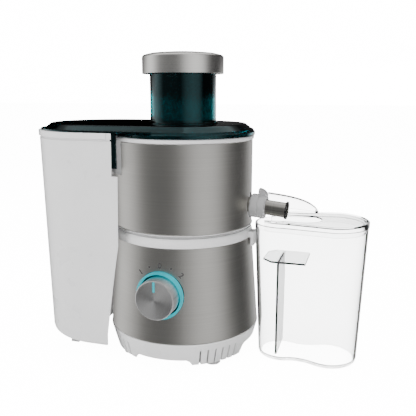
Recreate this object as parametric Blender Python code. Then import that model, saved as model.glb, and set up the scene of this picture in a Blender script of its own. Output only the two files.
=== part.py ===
"""Centrifugal juicer: motor base, juice collector, lid, pulp bin and juice jug.

Run with: blender --background --python part.py

All lengths below are millimetres, in a frame whose Z axis is the motor shaft and whose z = 0 is the
table. +X points at the juice jug, -X at the pulp bin, and the control knob faces -Y. The whole machine
hangs on one empty, which moves the shaft so that the origin lies under the middle of the bounding box.
"""
import math

import bmesh
import bpy
from mathutils import Matrix, Vector

MM = 0.001
GAP = 0.3              # air between two pieces that touch
LARGE = 48             # segments round the casings
MEDIUM = 32            # segments round the tube and the basket
SMALL = 16             # segments round the small turned pieces

# Motor base
FOOT_RADIUS = 8.5
FOOT_HEIGHT = 5.0
FOOT_CIRCLE = 65.0
SCREW_CIRCLE = 34.0
SKIRT_BOTTOM_RADIUS = 76.0
SKIRT_TOP_RADIUS = 82.4
SKIRT_TOP = 29.7
SKIRT_WALL = 2.6
FRONT_ARCH_TOP = 11.0
SIDE_ARCH_TOP = 16.0
VENT_BOTTOM = 3.5      # below the skirt, so the slots are open at its lower edge
VENT_TOP = 22.0
VENT_WIDTH = 1.8
VENT_STEP = 6.0        # degrees
SHELL_BOTTOM = 30.0
SHELL_TOP = 127.7
SHELL_BOTTOM_RADIUS = 82.0
SHELL_TOP_RADIUS = 74.6
SHEET = 1.2            # steel sheet

# Deck, collector and its sleeve
DECK_TOP = 137.2
RING_RADIUS = 75.0
COLLECTOR_BOTTOM = 137.6
SLEEVE_BOTTOM = 141.3
SLEEVE_TOP = 230.6
SLEEVE_RADIUS = 74.2
BOWL_RADIUS = 72.6
BOWL_INNER_RADIUS = 70.5
BOWL_FLOOR = 144.5
BOWL_TOP = 235.0
TOP_RING_RADIUS = 75.5

# Lid and pusher
FLANGE_RADIUS = 76.5
LID_BOTTOM = 235.3
LID_TOP = 247.0
LID_TOP_RADIUS = 66.5
TUBE_RADIUS = 35.0
TUBE_WALL = 2.5
TUBE_TOP = 297.3
TUBE_BOTTOM = 172.0
CAP_RADIUS = 42.8
CAP_BOTTOM = 297.6
CAP_TOP = 320.0

# Pulp bin
BIN_END_X = -82.0      # centre of its rounded end
BIN_TOP_RADIUS = 79.5
BIN_BOTTOM_RADIUS = 75.5
BIN_RIM_RADIUS = 80.3
BIN_RIM_HEIGHT = 6.0
BIN_BOTTOM = 16.0
BIN_TOP = 240.0
BIN_WALL = 2.4
BIN_SADDLE_RADIUS = 89.0
BIN_SADDLE_TOP = 198.0
LID_END_X = -84.0

# Pulp chute
CHUTE_HALF_WIDTH = 42.0
CHEEK_HALF_WIDTH = 57.0
CHUTE_FLOOR = 199.5
CHUTE_TOP = 230.6

# Knob
KNOB_Z = 80.0
KNOB_RADIUS = 20.3
KNOB_FACE_Y = -94.0
RING_OUTER = 24.5
RING_INNER = 22.2
RING_FACE_Y = -80.7

# Spout: its own axis leans down from the collector wall
SPOUT_ROOT = Vector((73.0, 0.0, 162.2))
SPOUT_TILT = math.radians(6.0)
SPOUT_TUBE_RADIUS = 8.0
SPOUT_TUBE_LENGTH = 41.0
COLLAR_RADIUS = 12.6
COLLAR_START = 1.9
COLLAR_END = 18.5

# Juice jug
JUG_RIM = 145.4
JUG_WALL = 2.2
JUG_LID_TOP = 151.5
JUG_LID_RADIUS_RIGHT = 37.4
JUG_TOP_LOBES = ((110.5, 30.0), (160.0, 36.6))       # centre x, radius
JUG_BOTTOM_LOBES = ((112.0, 25.5), (161.5, 29.5))
NOTCH_HALF_WIDTH = 18.0

X_MIN = BIN_END_X - BIN_RIM_RADIUS
X_MAX = JUG_TOP_LOBES[1][0] + JUG_LID_RADIUS_RIGHT
AXIS_X = -(X_MIN + X_MAX) / 2      # where the motor shaft stands in the world

MATERIALS = {}


def material(name, colour, roughness, metallic=0.0, transmission=0.0, glow=0.0):
    """One Principled material for each name."""
    if name not in MATERIALS:
        made = bpy.data.materials.new(name)
        made.use_nodes = True
        shader = made.node_tree.nodes["Principled BSDF"]
        shader.inputs["Base Color"].default_value = (*colour, 1.0)
        shader.inputs["Roughness"].default_value = roughness
        shader.inputs["Metallic"].default_value = metallic
        shader.inputs["Transmission Weight"].default_value = transmission
        if glow:
            shader.inputs["Emission Color"].default_value = (*colour, 1.0)
            shader.inputs["Emission Strength"].default_value = glow
        MATERIALS[name] = made
    return MATERIALS[name]


def white_plastic():
    return material("white_plastic", (0.78, 0.78, 0.78), 0.35)


def steel():
    return material("brushed_steel", (0.52, 0.51, 0.49), 0.32, 1.0)


def smoked():
    return material("smoked_plastic", (0.01, 0.10, 0.11), 0.08, 0.0, 0.6)


def clear():
    return material("clear_plastic", (0.95, 0.96, 0.96), 0.04, 0.0, 0.95)


def rubber():
    return material("black_rubber", (0.03, 0.03, 0.03), 0.7)


def grey_rubber():
    return material("grey_rubber", (0.5, 0.5, 0.5), 0.6)


def grey_plastic():
    return material("grey_plastic", (0.38, 0.38, 0.38), 0.45)


def black_plastic():
    return material("black_plastic", (0.02, 0.02, 0.022), 0.4)


def lamination():
    return material("motor_steel", (0.25, 0.25, 0.26), 0.5, 1.0)


def copper():
    return material("copper", (0.72, 0.32, 0.18), 0.35, 1.0)


def led_plastic():
    return material("led_plastic", (0.0, 0.85, 0.95), 0.3, 0.0, 0.0, 2.0)


def carbon():
    return material("carbon", (0.05, 0.05, 0.055), 0.8)


def clear_scene():
    for old in list(bpy.data.objects):
        bpy.data.objects.remove(old, do_unlink=True)


def machine_empty():
    empty = bpy.data.objects.new("machine_axis", None)
    empty.location = (AXIS_X * MM, 0.0, 0.0)
    bpy.context.scene.collection.objects.link(empty)
    return empty


clear_scene()
MACHINE = machine_empty()
bpy.context.view_layer.update()


def finish_mesh(name, bm, smooth=False):
    """Turn a bmesh drawn in millimetres into an object under the machine's empty."""
    bmesh.ops.scale(bm, vec=(MM, MM, MM), verts=bm.verts)
    bmesh.ops.recalc_face_normals(bm, faces=bm.faces)
    mesh = bpy.data.meshes.new(name)
    bm.to_mesh(mesh)
    bm.free()
    for face in mesh.polygons:
        face.use_smooth = smooth
    obj = bpy.data.objects.new(name, mesh)
    bpy.context.scene.collection.objects.link(obj)
    obj.parent = MACHINE
    return obj


def dress(obj, finish):
    obj.data.materials.append(finish)
    return obj


def centre_on(obj, point):
    """Move an object's origin onto a point of its joint axis and leave its shape where it is."""
    origin = Vector(point) * MM
    obj.data.transform(Matrix.Translation(-origin))
    obj.location = obj.location + origin
    return obj


def ring(name, profile, segments, frame=None):
    """Spin a closed (radius, height) outline once round Z, or round the Z axis of another frame."""
    bm = bmesh.new()
    verts = [bm.verts.new((radius, 0.0, height)) for radius, height in profile]
    edges = [bm.edges.new((verts[i - 1], verts[i])) for i in range(len(verts))]
    bmesh.ops.spin(bm, geom=verts + edges, cent=(0, 0, 0), axis=(0, 0, 1),
                   angle=2 * math.pi, steps=segments, use_merge=True)
    bmesh.ops.remove_doubles(bm, verts=bm.verts, dist=1e-4)
    bmesh.ops.dissolve_degenerate(bm, edges=bm.edges, dist=1e-5)
    if frame:
        bmesh.ops.transform(bm, matrix=frame, verts=bm.verts)
    return finish_mesh(name, bm, True)


def turned(name, profile, segments, frame=None):
    """Spin an open outline that starts and ends on the axis into a solid."""
    bm = bmesh.new()
    verts = [bm.verts.new((radius, 0.0, height)) for radius, height in profile]
    edges = [bm.edges.new((verts[i], verts[i + 1])) for i in range(len(verts) - 1)]
    bmesh.ops.spin(bm, geom=verts + edges, cent=(0, 0, 0), axis=(0, 0, 1),
                   angle=2 * math.pi, steps=segments, use_merge=True)
    bmesh.ops.remove_doubles(bm, verts=bm.verts, dist=1e-4)
    if frame:
        bmesh.ops.transform(bm, matrix=frame, verts=bm.verts)
    return finish_mesh(name, bm, True)


def disc(name, radius, bottom, top, segments, frame=None):
    return turned(name, [(0, bottom), (radius, bottom), (radius, top), (0, top)], segments, frame)


def block(name, low, high, frame=None):
    bm = bmesh.new()
    bmesh.ops.create_cube(bm, size=1.0)
    low = Vector(low)
    high = Vector(high)
    size = high - low
    bmesh.ops.scale(bm, vec=size, verts=bm.verts)
    bmesh.ops.translate(bm, vec=(low + high) / 2, verts=bm.verts)
    if frame:
        bmesh.ops.transform(bm, matrix=frame, verts=bm.verts)
    return finish_mesh(name, bm)


def loft(name, loops, smooth=True):
    """Skin a stack of closed loops that have the same number of points, and cap both ends."""
    bm = bmesh.new()
    rows = [[bm.verts.new(point) for point in loop] for loop in loops]
    count = len(rows[0])
    for low, high in zip(rows, rows[1:]):
        for i in range(count):
            j = (i + 1) % count
            bm.faces.new((low[i], low[j], high[j], high[i]))
    bm.faces.new(rows[0][::-1])
    bm.faces.new(rows[-1])
    return finish_mesh(name, bm, smooth)


def prism(name, outline, low, high, frame=None):
    """Extrude a flat outline between two heights."""
    bm = bmesh.new()
    face = bm.faces.new([bm.verts.new((x, y, low)) for x, y in outline])
    grown = bmesh.ops.extrude_face_region(bm, geom=[face])
    moved = [item for item in grown["geom"] if isinstance(item, bmesh.types.BMVert)]
    bmesh.ops.translate(bm, vec=(0, 0, high - low), verts=moved)
    if frame:
        bmesh.ops.transform(bm, matrix=frame, verts=bm.verts)
    return finish_mesh(name, bm)


def boolean(obj, other, operation):
    other.hide_render = True
    other.display_type = "WIRE"
    modifier = obj.modifiers.new(other.name, "BOOLEAN")
    modifier.operation = operation
    modifier.object = other
    modifier.solver = "EXACT"
    return obj


def cut(obj, *cutters):
    for cutter in cutters:
        boolean(obj, cutter, "DIFFERENCE")
    return obj


def weld(obj, *others):
    for other in others:
        boolean(obj, other, "UNION")
    return obj


def polar(radius, degrees):
    """A point on a circle; 0 degrees is the front, -Y, and 90 degrees is +X."""
    angle = math.radians(degrees)
    return radius * math.sin(angle), -radius * math.cos(angle)


def turn_to(degrees):
    """A frame whose -Y points out at the given bearing from the front."""
    return Matrix.Rotation(math.radians(degrees), 4, "Z")


def front_frame(y):
    """A frame whose Z axis runs along -Y through the knob, from the plane at y."""
    return Matrix.Translation((0, y, KNOB_Z)) @ Matrix.Rotation(math.pi / 2, 4, "X")


def spout_frame():
    """A frame whose Z axis is the spout's axis and whose X axis points up from it."""
    along = Vector((math.cos(SPOUT_TILT), 0, -math.sin(SPOUT_TILT)))
    up = Vector((math.sin(SPOUT_TILT), 0, math.cos(SPOUT_TILT)))
    side = along.cross(up)
    frame = Matrix((up, side, along)).transposed().to_4x4()
    return Matrix.Translation(SPOUT_ROOT) @ frame


# ---------------------------------------------------------------- base

def arch_cutters(tag):
    """Four boxes that lift the lower edge of the base between its feet."""
    front = block(tag + "_front", (-31, -90, -1), (31, -42, FRONT_ARCH_TOP))
    back = block(tag + "_back", (-31, 42, -1), (31, 90, FRONT_ARCH_TOP))
    left = block(tag + "_left", (-90, -28, -1), (-42, 28, SIDE_ARCH_TOP))
    right = block(tag + "_right", (42, -28, -1), (90, 28, SIDE_ARCH_TOP))
    return front, back, left, right


def vent_cutter():
    """All the vent slots of the four lobes as one cutter."""
    bm = bmesh.new()
    for lobe in (45, 135, 225, 315):
        for index in range(6):
            bearing = lobe + (index - 2.5) * VENT_STEP
            frame = turn_to(bearing) @ Matrix.Translation((0, -79, (VENT_BOTTOM + VENT_TOP) / 2))
            size = Matrix.Diagonal((VENT_WIDTH, 16, VENT_TOP - VENT_BOTTOM, 1))
            bmesh.ops.create_cube(bm, size=1.0, matrix=frame @ size)
    return finish_mesh("vent_cutter", bm)


def base_skirt():
    lower_inner = SKIRT_BOTTOM_RADIUS - SKIRT_WALL
    skirt = ring("base_skirt", [
        (SKIRT_BOTTOM_RADIUS, FOOT_HEIGHT), (SKIRT_TOP_RADIUS, SKIRT_TOP - 1.2),
        (SKIRT_TOP_RADIUS - 0.4, SKIRT_TOP), (24, SKIRT_TOP), (24, 27.2), (78.6, 27.2),
        (lower_inner, FOOT_HEIGHT)], LARGE)
    gland_hole = disc("gland_hole", 5.3, -20, 20, SMALL, cord_frame())
    cut(skirt, vent_cutter(), *arch_cutters("skirt_arch"), gland_hole)
    for index in range(4):
        x, y = polar(SCREW_CIRCLE, 90 * index)
        post = ring("screw_post_%d" % index, [(1.9, 8.4), (4.5, 8.4), (4.5, 28), (1.9, 26)], 12,
                    Matrix.Translation((x, y, 0)))
        weld(skirt, post)
    return dress(skirt, white_plastic())


def bottom_plate():
    """Cross-shaped floor: a lobe over each foot, and nothing behind the arches of the skirt."""
    reach = 73.0
    start = math.degrees(math.asin(31 / reach))
    end = math.degrees(math.acos(28 / reach))
    outline = []
    for index in range(4):
        first, last = (start, end) if index % 2 == 0 else (90 - end, 90 - start)
        corner = (31, 42) if index % 2 == 0 else (28, 42)
        outline.append(quarter(index, corner[0], -corner[1]))
        for i in range(9):
            outline.append(polar(reach, 90 * index + first + (last - first) * i / 8))
        corner = (42, 28) if index % 2 == 0 else (42, 31)
        outline.append(quarter(index, corner[0], -corner[1]))
    plate = prism("bottom_plate", outline, FOOT_HEIGHT + GAP, 8.0)
    for index in range(4):
        x, y = polar(SCREW_CIRCLE, 90 * index)
        cut(plate, disc("plate_hole_%d" % index, 1.9, 0, 12, 12, Matrix.Translation((x, y, 0))))
    return dress(plate, grey_plastic())


def quarter(index, x, y):
    """The point (x, y) after a number of quarter turns."""
    turned_point = turn_to(90 * index) @ Vector((x, y, 0))
    return turned_point.x, turned_point.y


def feet():
    for index in range(4):
        x, y = polar(FOOT_CIRCLE, 45 + 90 * index)
        foot = turned("rubber_foot_%d" % (index + 1), [
            (0, 0), (FOOT_RADIUS - 1, 0), (FOOT_RADIUS, 1), (FOOT_RADIUS, FOOT_HEIGHT), (0, FOOT_HEIGHT)],
            SMALL, Matrix.Translation((x, y, 0)))
        dress(foot, grey_rubber())


def base_screws():
    for index in range(4):
        x, y = polar(SCREW_CIRCLE, 90 * index)
        screw = turned("base_screw_%d" % (index + 1), [
            (0, 2.8), (3.2, 2.8), (3.4, 5.0), (1.6, 5.0), (1.6, 16), (0, 17)],
            16, Matrix.Translation((x, y, 0)))
        dress(screw, steel())


def cord_frame():
    """A frame whose Z axis runs out of the back of the base, along +Y."""
    return Matrix.Translation((0, SKIRT_TOP_RADIUS - 3, 20.5)) @ Matrix.Rotation(-math.pi / 2, 4, "X")


def cord_gland():
    """The rubber sleeve that the mains cord comes out of."""
    end = -KNOB_FACE_Y - (SKIRT_TOP_RADIUS - 3)
    gland = ring("cord_gland", [
        (3.2, -8), (5.0, -8), (5.0, 4.5), (6.4, 4.5), (6.4, 6.5), (4.6, end), (3.2, end)],
        16, cord_frame())
    return dress(gland, rubber())


def lower_shell():
    shell = ring("lower_shell", [
        (SHELL_BOTTOM_RADIUS, SHELL_BOTTOM), (SHELL_TOP_RADIUS, SHELL_TOP),
        (SHELL_TOP_RADIUS - SHEET, SHELL_TOP), (SHELL_BOTTOM_RADIUS - SHEET, SHELL_BOTTOM)], LARGE)
    hole = disc("dial_hole", RING_OUTER + GAP, 60, 95, MEDIUM, front_frame(0))
    return dress(cut(shell, hole), steel())


def motor_deck():
    """The white ring between the two steel casings, with the floor that closes the motor room."""
    deck = ring("motor_deck", [
        (8.2, 128), (8.2, 133), (10.5, 133), (10.5, 131), (70.5, 131), (70.5, DECK_TOP),
        (RING_RADIUS, DECK_TOP), (RING_RADIUS, 128), (73, 128), (73, 115), (70.5, 115), (70.5, 128)],
        LARGE)
    arm = block("catch_arm", (71.5, -8, 128.4), (80, 8, 134))
    drop = block("catch_drop", (76.4, -7, 119), (79.8, 7, 129))
    return dress(weld(deck, weld(arm, drop)), white_plastic())


# ---------------------------------------------------------------- motor

def motor_carrier():
    carrier = ring("motor_carrier", [
        (12, 42), (46, 42), (46, 112), (73, 112), (73, 114.6), (43.5, 114.6), (43.5, 44.5),
        (14.5, 44.5), (14.5, 50), (12, 50)], MEDIUM)
    return dress(carrier, grey_plastic())


def bearing_bridge():
    bridge = ring("bearing_bridge", [
        (12, 104.5), (43.2, 104.5), (43.2, 107), (14.5, 107), (14.5, 112), (12, 112)], MEDIUM)
    return dress(bridge, lamination())


def bearing(name, bottom):
    made = ring(name, [(4.3, bottom), (11.7, bottom), (11.7, bottom + 7), (4.3, bottom + 7)], SMALL)
    return dress(made, steel())


def stator_core():
    made = ring("stator_core", [(22.2, 64), (38, 64), (38, 98), (22.2, 98)], MEDIUM)
    return dress(made, lamination())


def field_coils():
    """The two field windings, seen as their end turns on top of the stator."""
    for index, side in enumerate((1, -1)):
        outline = [(side * 36.5 * math.cos(a), 36.5 * math.sin(a)) for a in arc(-76, 76, 12)]
        outline += [(side * 23.5 * math.cos(a), 23.5 * math.sin(a)) for a in arc(76, -76, 12)]
        dress(prism("field_coil_%d" % (index + 1), outline, 98.3, 103.5), copper())


def arc(start, end, steps):
    """Angles in radians from start to end, both given in degrees."""
    return [math.radians(start + (end - start) * i / steps) for i in range(steps + 1)]


def motor_bushes():
    for index in range(4):
        bush = block("motor_bush_%d" % (index + 1), (38.3, -6, 70), (42.6, 6, 92), turn_to(45 + 90 * index))
        dress(bush, rubber())


def brushes():
    for index in range(2):
        frame = turn_to(180 * index)
        holder = block("brush_holder_%d" % (index + 1), (17, -4, 51), (42.8, 4, 59.5), frame)
        dress(holder, black_plastic())
        brush = block("carbon_brush_%d" % (index + 1), (9.9, -3, 52), (16.7, 3, 58.5), frame)
        dress(brush, carbon())


def rotary_switch():
    made = block("rotary_switch", (-11, -67, 69), (11, -50, 91))
    return dress(made, black_plastic())


def control_board():
    made = block("control_board", (-24, -64, 48), (24, -62.4, 66))
    return dress(made, material("circuit_board", (0.05, 0.22, 0.10), 0.5))


def interlock_switch():
    made = block("interlock_switch", (-10, 55, 116), (10, 63, 127.7))
    return dress(made, black_plastic())


# ---------------------------------------------------------------- rotor and basket

def motor_shaft():
    made = disc("motor_shaft", 4.0, 30.5, 156, 16)
    return dress(made, steel())


def cooling_fan():
    fan = ring("cooling_fan", [(4.3, 31), (36, 31), (36, 32.6), (8, 32.6), (8, 40), (4.3, 40)], 36)
    for index in range(9):
        frame = turn_to(40 * index) @ Matrix.Rotation(math.radians(18), 4, "Z")
        blade = block("fan_blade_%d" % index, (7, -0.7, 32), (33.5, 0.7, 39), frame)
        weld(fan, blade)
    return dress(fan, grey_plastic())


def armature():
    """Laminated core with twelve winding slots."""
    slots = 12
    outline = []
    for index in range(slots):
        middle = 360.0 * index / slots
        for radius, offset in ((21.6, -12), (21.6, 6), (17.5, 9), (17.5, 15)):
            angle = math.radians(middle + offset)
            outline.append((radius * math.cos(angle), radius * math.sin(angle)))
    core = prism("armature_core", outline, 64, 98)
    bore = disc("armature_bore", 4.3, 60, 102, 16)
    return dress(cut(core, bore), lamination())


def commutator():
    made = ring("commutator", [(4.3, 51), (9.6, 51), (9.6, 60.5), (4.3, 60.5)], SMALL)
    return dress(made, copper())


def drive_coupling():
    """Star-shaped driver that the basket hub drops over."""
    outline = []
    for index in range(12):
        angle = math.radians(30 * index)
        radius = 11.5 if index % 2 == 0 else 8.5
        outline.append((radius * math.cos(angle), radius * math.sin(angle)))
    driver = prism("drive_coupling", outline, 134, 146)
    bore = disc("driver_bore", 4.3, 130, 150, 16)
    return dress(cut(driver, bore), black_plastic())


def shaft_seal():
    made = ring("shaft_seal", [(4.5, 128), (7.9, 128), (7.9, 132.5), (4.5, 132.5)], SMALL)
    return dress(made, rubber())


def basket_base():
    """Plastic dish under the filter basket, with the hub that drops on the driver."""
    made = ring("basket_base", [
        (4.3, 146.4), (13, 146.4), (14.5, 156), (52, 158), (54.5, 161), (54.5, 164.4), (52.6, 164.4),
        (51, 161), (4.3, 161)], MEDIUM)
    return dress(made, white_plastic())


def filter_cone():
    """The sieve wall of the basket, a thin steel cone."""
    made = ring("filter_cone", [
        (52.9, 164.8), (53.9, 164.8), (62.9, 202.8), (61.9, 202.8)], MEDIUM)
    return dress(made, steel())


def basket_rim():
    made = ring("basket_rim", [(60.6, 203.1), (65, 203.1), (65, 206), (63.5, 207), (60.6, 207)], MEDIUM)
    return dress(made, white_plastic())


def grater_disc():
    """Cutting disc with two rows of small raised teeth."""
    disc_body = disc("grater_disc", 50.6, 161.3, 162.6, MEDIUM)
    teeth = bmesh.new()
    for radius, count in ((22, 5), (38, 7)):
        for index in range(count):
            frame = turn_to(360 * index / count) @ Matrix.Translation((radius, 0, 162.5))
            size = Matrix.Diagonal((1.2, 4.0, 3.0, 1))
            bmesh.ops.create_cube(teeth, size=1.0, matrix=frame @ size)
    return dress(weld(disc_body, finish_mesh("grater_teeth", teeth)), steel())


# ---------------------------------------------------------------- collector

def collector_bowl():
    bowl = ring("collector_bowl", [
        (16, 141.6), (16, 150), (18, 150), (18, BOWL_FLOOR), (BOWL_INNER_RADIUS, BOWL_FLOOR),
        (BOWL_INNER_RADIUS, BOWL_TOP), (TOP_RING_RADIUS, BOWL_TOP), (TOP_RING_RADIUS, SLEEVE_TOP + GAP),
        (BOWL_RADIUS, SLEEVE_TOP + GAP), (BOWL_RADIUS, SLEEVE_BOTTOM - GAP),
        (RING_RADIUS, SLEEVE_BOTTOM - GAP), (RING_RADIUS, COLLECTOR_BOTTOM),
        (BOWL_INNER_RADIUS, COLLECTOR_BOTTOM), (BOWL_INNER_RADIUS, 141.6)], LARGE)
    spout_hole = disc("spout_hole", SPOUT_TUBE_RADIUS + GAP, -12, 8, SMALL, spout_frame())
    cut(bowl, spout_hole)
    return dress(bowl, white_plastic())


def chute_solids(bowl):
    """The pulp outlet: side cheeks, a floor that reaches over the bin, and its turned-down lip."""
    half = CHUTE_HALF_WIDTH
    outer = block("chute_outer", (-90, -CHEEK_HALF_WIDTH, 197.2), (-40, CHEEK_HALF_WIDTH, BOWL_TOP - 3))
    limit = ring("chute_limit", [(71.2, 190), (77.2, 190), (77.2, 240), (71.2, 240)], LARGE)
    boolean(outer, limit, "INTERSECT")
    floor = block("chute_plate", (-92.5, -half + 1.2, CHUTE_FLOOR), (-70.6, half - 1.2, CHUTE_FLOOR + 2))
    lip = ring("chute_lip", [(85.2, 189), (87.6, 189), (87.6, 199.8), (80.5, 199.8)], LARGE)
    sector = block("chute_lip_sector", (-99, -half + 1.2, 180), (-40, half - 1.2, 210))
    boolean(lip, sector, "INTERSECT")
    weld(bowl, outer, floor, lip)
    passage = block("chute_passage", (-99, -half + 1.2, CHUTE_FLOOR + 2), (-40, half - 1.2, CHUTE_TOP))
    return cut(bowl, passage)


def collector_sleeve():
    sleeve = ring("collector_sleeve", [
        (BOWL_RADIUS + 0.4, SLEEVE_BOTTOM), (SLEEVE_RADIUS, SLEEVE_BOTTOM),
        (SLEEVE_RADIUS, SLEEVE_TOP), (BOWL_RADIUS + 0.4, SLEEVE_TOP)], LARGE)
    side = CHEEK_HALF_WIDTH + GAP
    opening = block("sleeve_opening", (-90, -side, 196.6), (-40, side, 240))
    hole = disc("sleeve_hole", COLLAR_RADIUS + 0.6, -12, 30, SMALL, spout_frame())
    return dress(cut(sleeve, opening, hole), steel())


# ---------------------------------------------------------------- spout

def spout_tube():
    made = ring("spout_tube", [
        (6.9, -3.2), (SPOUT_TUBE_RADIUS, -3.2), (SPOUT_TUBE_RADIUS, SPOUT_TUBE_LENGTH),
        (6.9, SPOUT_TUBE_LENGTH)], SMALL, spout_frame())
    return dress(made, steel())


def spout_seal():
    made = ring("spout_seal", [(8.3, 39), (9.4, 39), (9.4, 41.4), (8.3, 41.4)], SMALL, spout_frame())
    return dress(made, rubber())


def valve_collar():
    """Grey collar that turns on the spout, with a thumb lever on top."""
    collar = ring("valve_collar", [
        (8.4, COLLAR_START), (COLLAR_RADIUS, COLLAR_START), (COLLAR_RADIUS, COLLAR_END),
        (8.4, COLLAR_END)], 32, spout_frame())
    lever = block("lever_body", (11.5, -4.5, 9), (19, 4.5, COLLAR_END), spout_frame())
    weld(collar, lever)
    return dress(centre_on(collar, SPOUT_ROOT), grey_plastic())


def hood_section(along, scale, sunk):
    """Half an ellipse over the spout, as points in the spout's frame; scale shrinks it inward."""
    reach = 74.0
    share = max(0.0, min(1.0, (along - COLLAR_END) / (reach - COLLAR_END)))
    height = 16.4 * math.sqrt(max(0.0, 1 - share ** 3.4)) - scale
    half = 11.6 * math.sqrt(max(0.0, 1 - share ** 3.0)) - scale
    rise = 3.2 * share ** 2
    height = max(height, rise + 0.4)
    half = max(half, 0.4)
    arch = [(rise + (height - rise) * math.sin(a), half * math.cos(a), along) for a in arc(0, 180, 16)]
    return [(rise - sunk, half, along)] + arch + [(rise - sunk, -half, along)]


def nozzle_hood():
    """Clear half-round cover that carries the juice from the spout into the jug."""
    frame = spout_frame()
    places = [COLLAR_END + GAP, 26, 36, 46, 54, 61, 66, 70, 72.6]
    outer = [[frame @ Vector(p) for p in hood_section(s, 0.0, 0.0)] for s in places]
    hollow = [COLLAR_END - 3, 26, 36, 46, 54, 61, 66, 69.5]
    inner = [[frame @ Vector(p) for p in hood_section(s, 1.4, 3.0)] for s in hollow]
    hood = loft("nozzle_hood", [[tuple(p) for p in row] for row in outer])
    cavity = loft("hood_cavity", [[tuple(p) for p in row] for row in inner])
    cut(hood, cavity)
    return dress(centre_on(hood, SPOUT_ROOT), clear())


# ---------------------------------------------------------------- knob

def dial_plate():
    made = ring("dial_plate", [(3.4, 69), (24.4, 69), (24.4, 75), (3.4, 75)], MEDIUM, front_frame(0))
    return dress(made, black_plastic())


def led_ring():
    face = -RING_FACE_Y
    made = ring("led_ring", [
        (RING_INNER, 75.3), (RING_OUTER, 75.3), (RING_OUTER, face - 0.8), (RING_OUTER - 0.8, face),
        (RING_INNER, face)], MEDIUM, front_frame(0))
    return dress(made, led_plastic())


def knob_body():
    face = -KNOB_FACE_Y
    made = turned("knob_body", [
        (0, 76.2), (KNOB_RADIUS, 76.2), (KNOB_RADIUS, face - 1.2), (KNOB_RADIUS - 1.2, face - 0.5),
        (0, face - 0.5)], MEDIUM, front_frame(0))
    slot = block("pointer_slot", (-1.2, KNOB_FACE_Y - 2, KNOB_Z + 8.7),
                 (1.2, KNOB_FACE_Y + 1.6, KNOB_Z + 19.3))
    socket = disc("stem_socket", 3.3, 70, 84, 16, front_frame(0))
    cut(made, slot, socket)
    return dress(centre_on(made, (0, 0, KNOB_Z)), material("spun_aluminium", (0.72, 0.72, 0.72), 0.25, 1.0))


def knob_pointer():
    made = block("knob_pointer", (-0.9, KNOB_FACE_Y, KNOB_Z + 9.0), (0.9, KNOB_FACE_Y + 1.3, KNOB_Z + 19.0))
    return dress(centre_on(made, (0, 0, KNOB_Z)), led_plastic())


def knob_stem():
    made = disc("knob_stem", 3.0, 67.3, 83.5, 16, front_frame(0))
    return dress(centre_on(made, (0, 0, KNOB_Z)), black_plastic())


# ---------------------------------------------------------------- lid and pusher

def stadium(body_radius, end_radius, z, steps=24):
    """Outline round the shaft on one side and round the bin's end on the other."""
    right = [(body_radius * math.sin(a), -body_radius * math.cos(a), z) for a in arc(0, 180, steps)]
    left = [(LID_END_X - end_radius * math.sin(a), end_radius * math.cos(a), z)
            for a in arc(0, 180, steps)]
    return right + left


def lid_cover():
    """Smoked lid over bowl and bin, with its feed tube, locating rim and chute hood."""
    cover = loft("lid_cover", [
        stadium(74.5, 73.5, 240.6), stadium(LID_TOP_RADIUS + 1.5, 67.0, LID_TOP - 1.5),
        stadium(LID_TOP_RADIUS, 65.5, LID_TOP - 0.4), stadium(LID_TOP_RADIUS - 2.5, 63.0, LID_TOP)])
    bin_flange = loft("bin_flange", [stadium(FLANGE_RADIUS - 0.2, 76.0, 240.4),
                                     stadium(FLANGE_RADIUS - 0.2, 76.0, 241.8)])
    body = turned("lid_body", [
        (0, 230.2), (70.1, 230.2), (70.1, LID_BOTTOM), (FLANGE_RADIUS, LID_BOTTOM), (FLANGE_RADIUS, 237.8),
        (75.0, 237.8), (74.8, 241.2), (0, 241.2)], LARGE)
    start = CHEEK_HALF_WIDTH + GAP
    hoods = [block("chute_hood_%s" % tag, (-88, low, 203), (-52, low + 2, 245.8))
             for tag, low in (("front", -start - 2), ("back", start))]
    weld(cover, bin_flange, body)
    bin_room = loft("bin_room", [stadium(71.5, 71, 236), stadium(71.5, 70.8, 240.6),
                                 stadium(LID_TOP_RADIUS - 1, 64.5, LID_TOP - 2.4)])
    chute_gap = block("chute_gap", (-120, -CHUTE_HALF_WIDTH - 1.8, 200), (-40, CHUTE_HALF_WIDTH + 1.8, 240))
    bowl_room = disc("bowl_room", 68.0, 220, 241, LARGE, turn_to(180.0 / LARGE))
    cut(cover, bin_room, bowl_room, chute_gap)
    tube = disc("feed_tube", TUBE_RADIUS, TUBE_BOTTOM, TUBE_TOP, MEDIUM)
    foot = turned("tube_foot", [(0, 245), (TUBE_RADIUS + 2.2, 245), (TUBE_RADIUS + 2.2, 247.6),
                                (TUBE_RADIUS, 250.5), (0, 250.5)], MEDIUM)
    weld(cover, tube, foot, *hoods)
    bore = disc("tube_bore", TUBE_RADIUS - TUBE_WALL, TUBE_BOTTOM - 5, TUBE_TOP + 5, MEDIUM)
    return dress(cut(cover, bore), smoked())


def pusher_body():
    """Hollow plunger with the flange that the steel cap is pressed on."""
    made = ring("pusher_body", [
        (3.0, 178), (31, 178), (31.9, 180), (31.9, CAP_BOTTOM + 0.2), (41.3, CAP_BOTTOM + 0.2),
        (41.3, 304), (29.4, 304), (29.4, 180.6), (3.0, 180.6)], MEDIUM)
    plug = disc("pusher_floor", 4.0, 178, 180.6, 16)
    return dress(weld(made, plug), black_plastic())


def pusher_cap():
    made = turned("pusher_cap", [
        (0, 304.3), (41.6, 304.3), (41.6, CAP_BOTTOM), (CAP_RADIUS - 0.4, CAP_BOTTOM),
        (CAP_RADIUS, CAP_BOTTOM + 0.6), (CAP_RADIUS, 314.4), (CAP_RADIUS - 1.6, 316.6),
        (34, 318.5), (20, 319.7), (0, CAP_TOP)], LARGE)
    return dress(made, steel())


# ---------------------------------------------------------------- pulp bin

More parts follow.
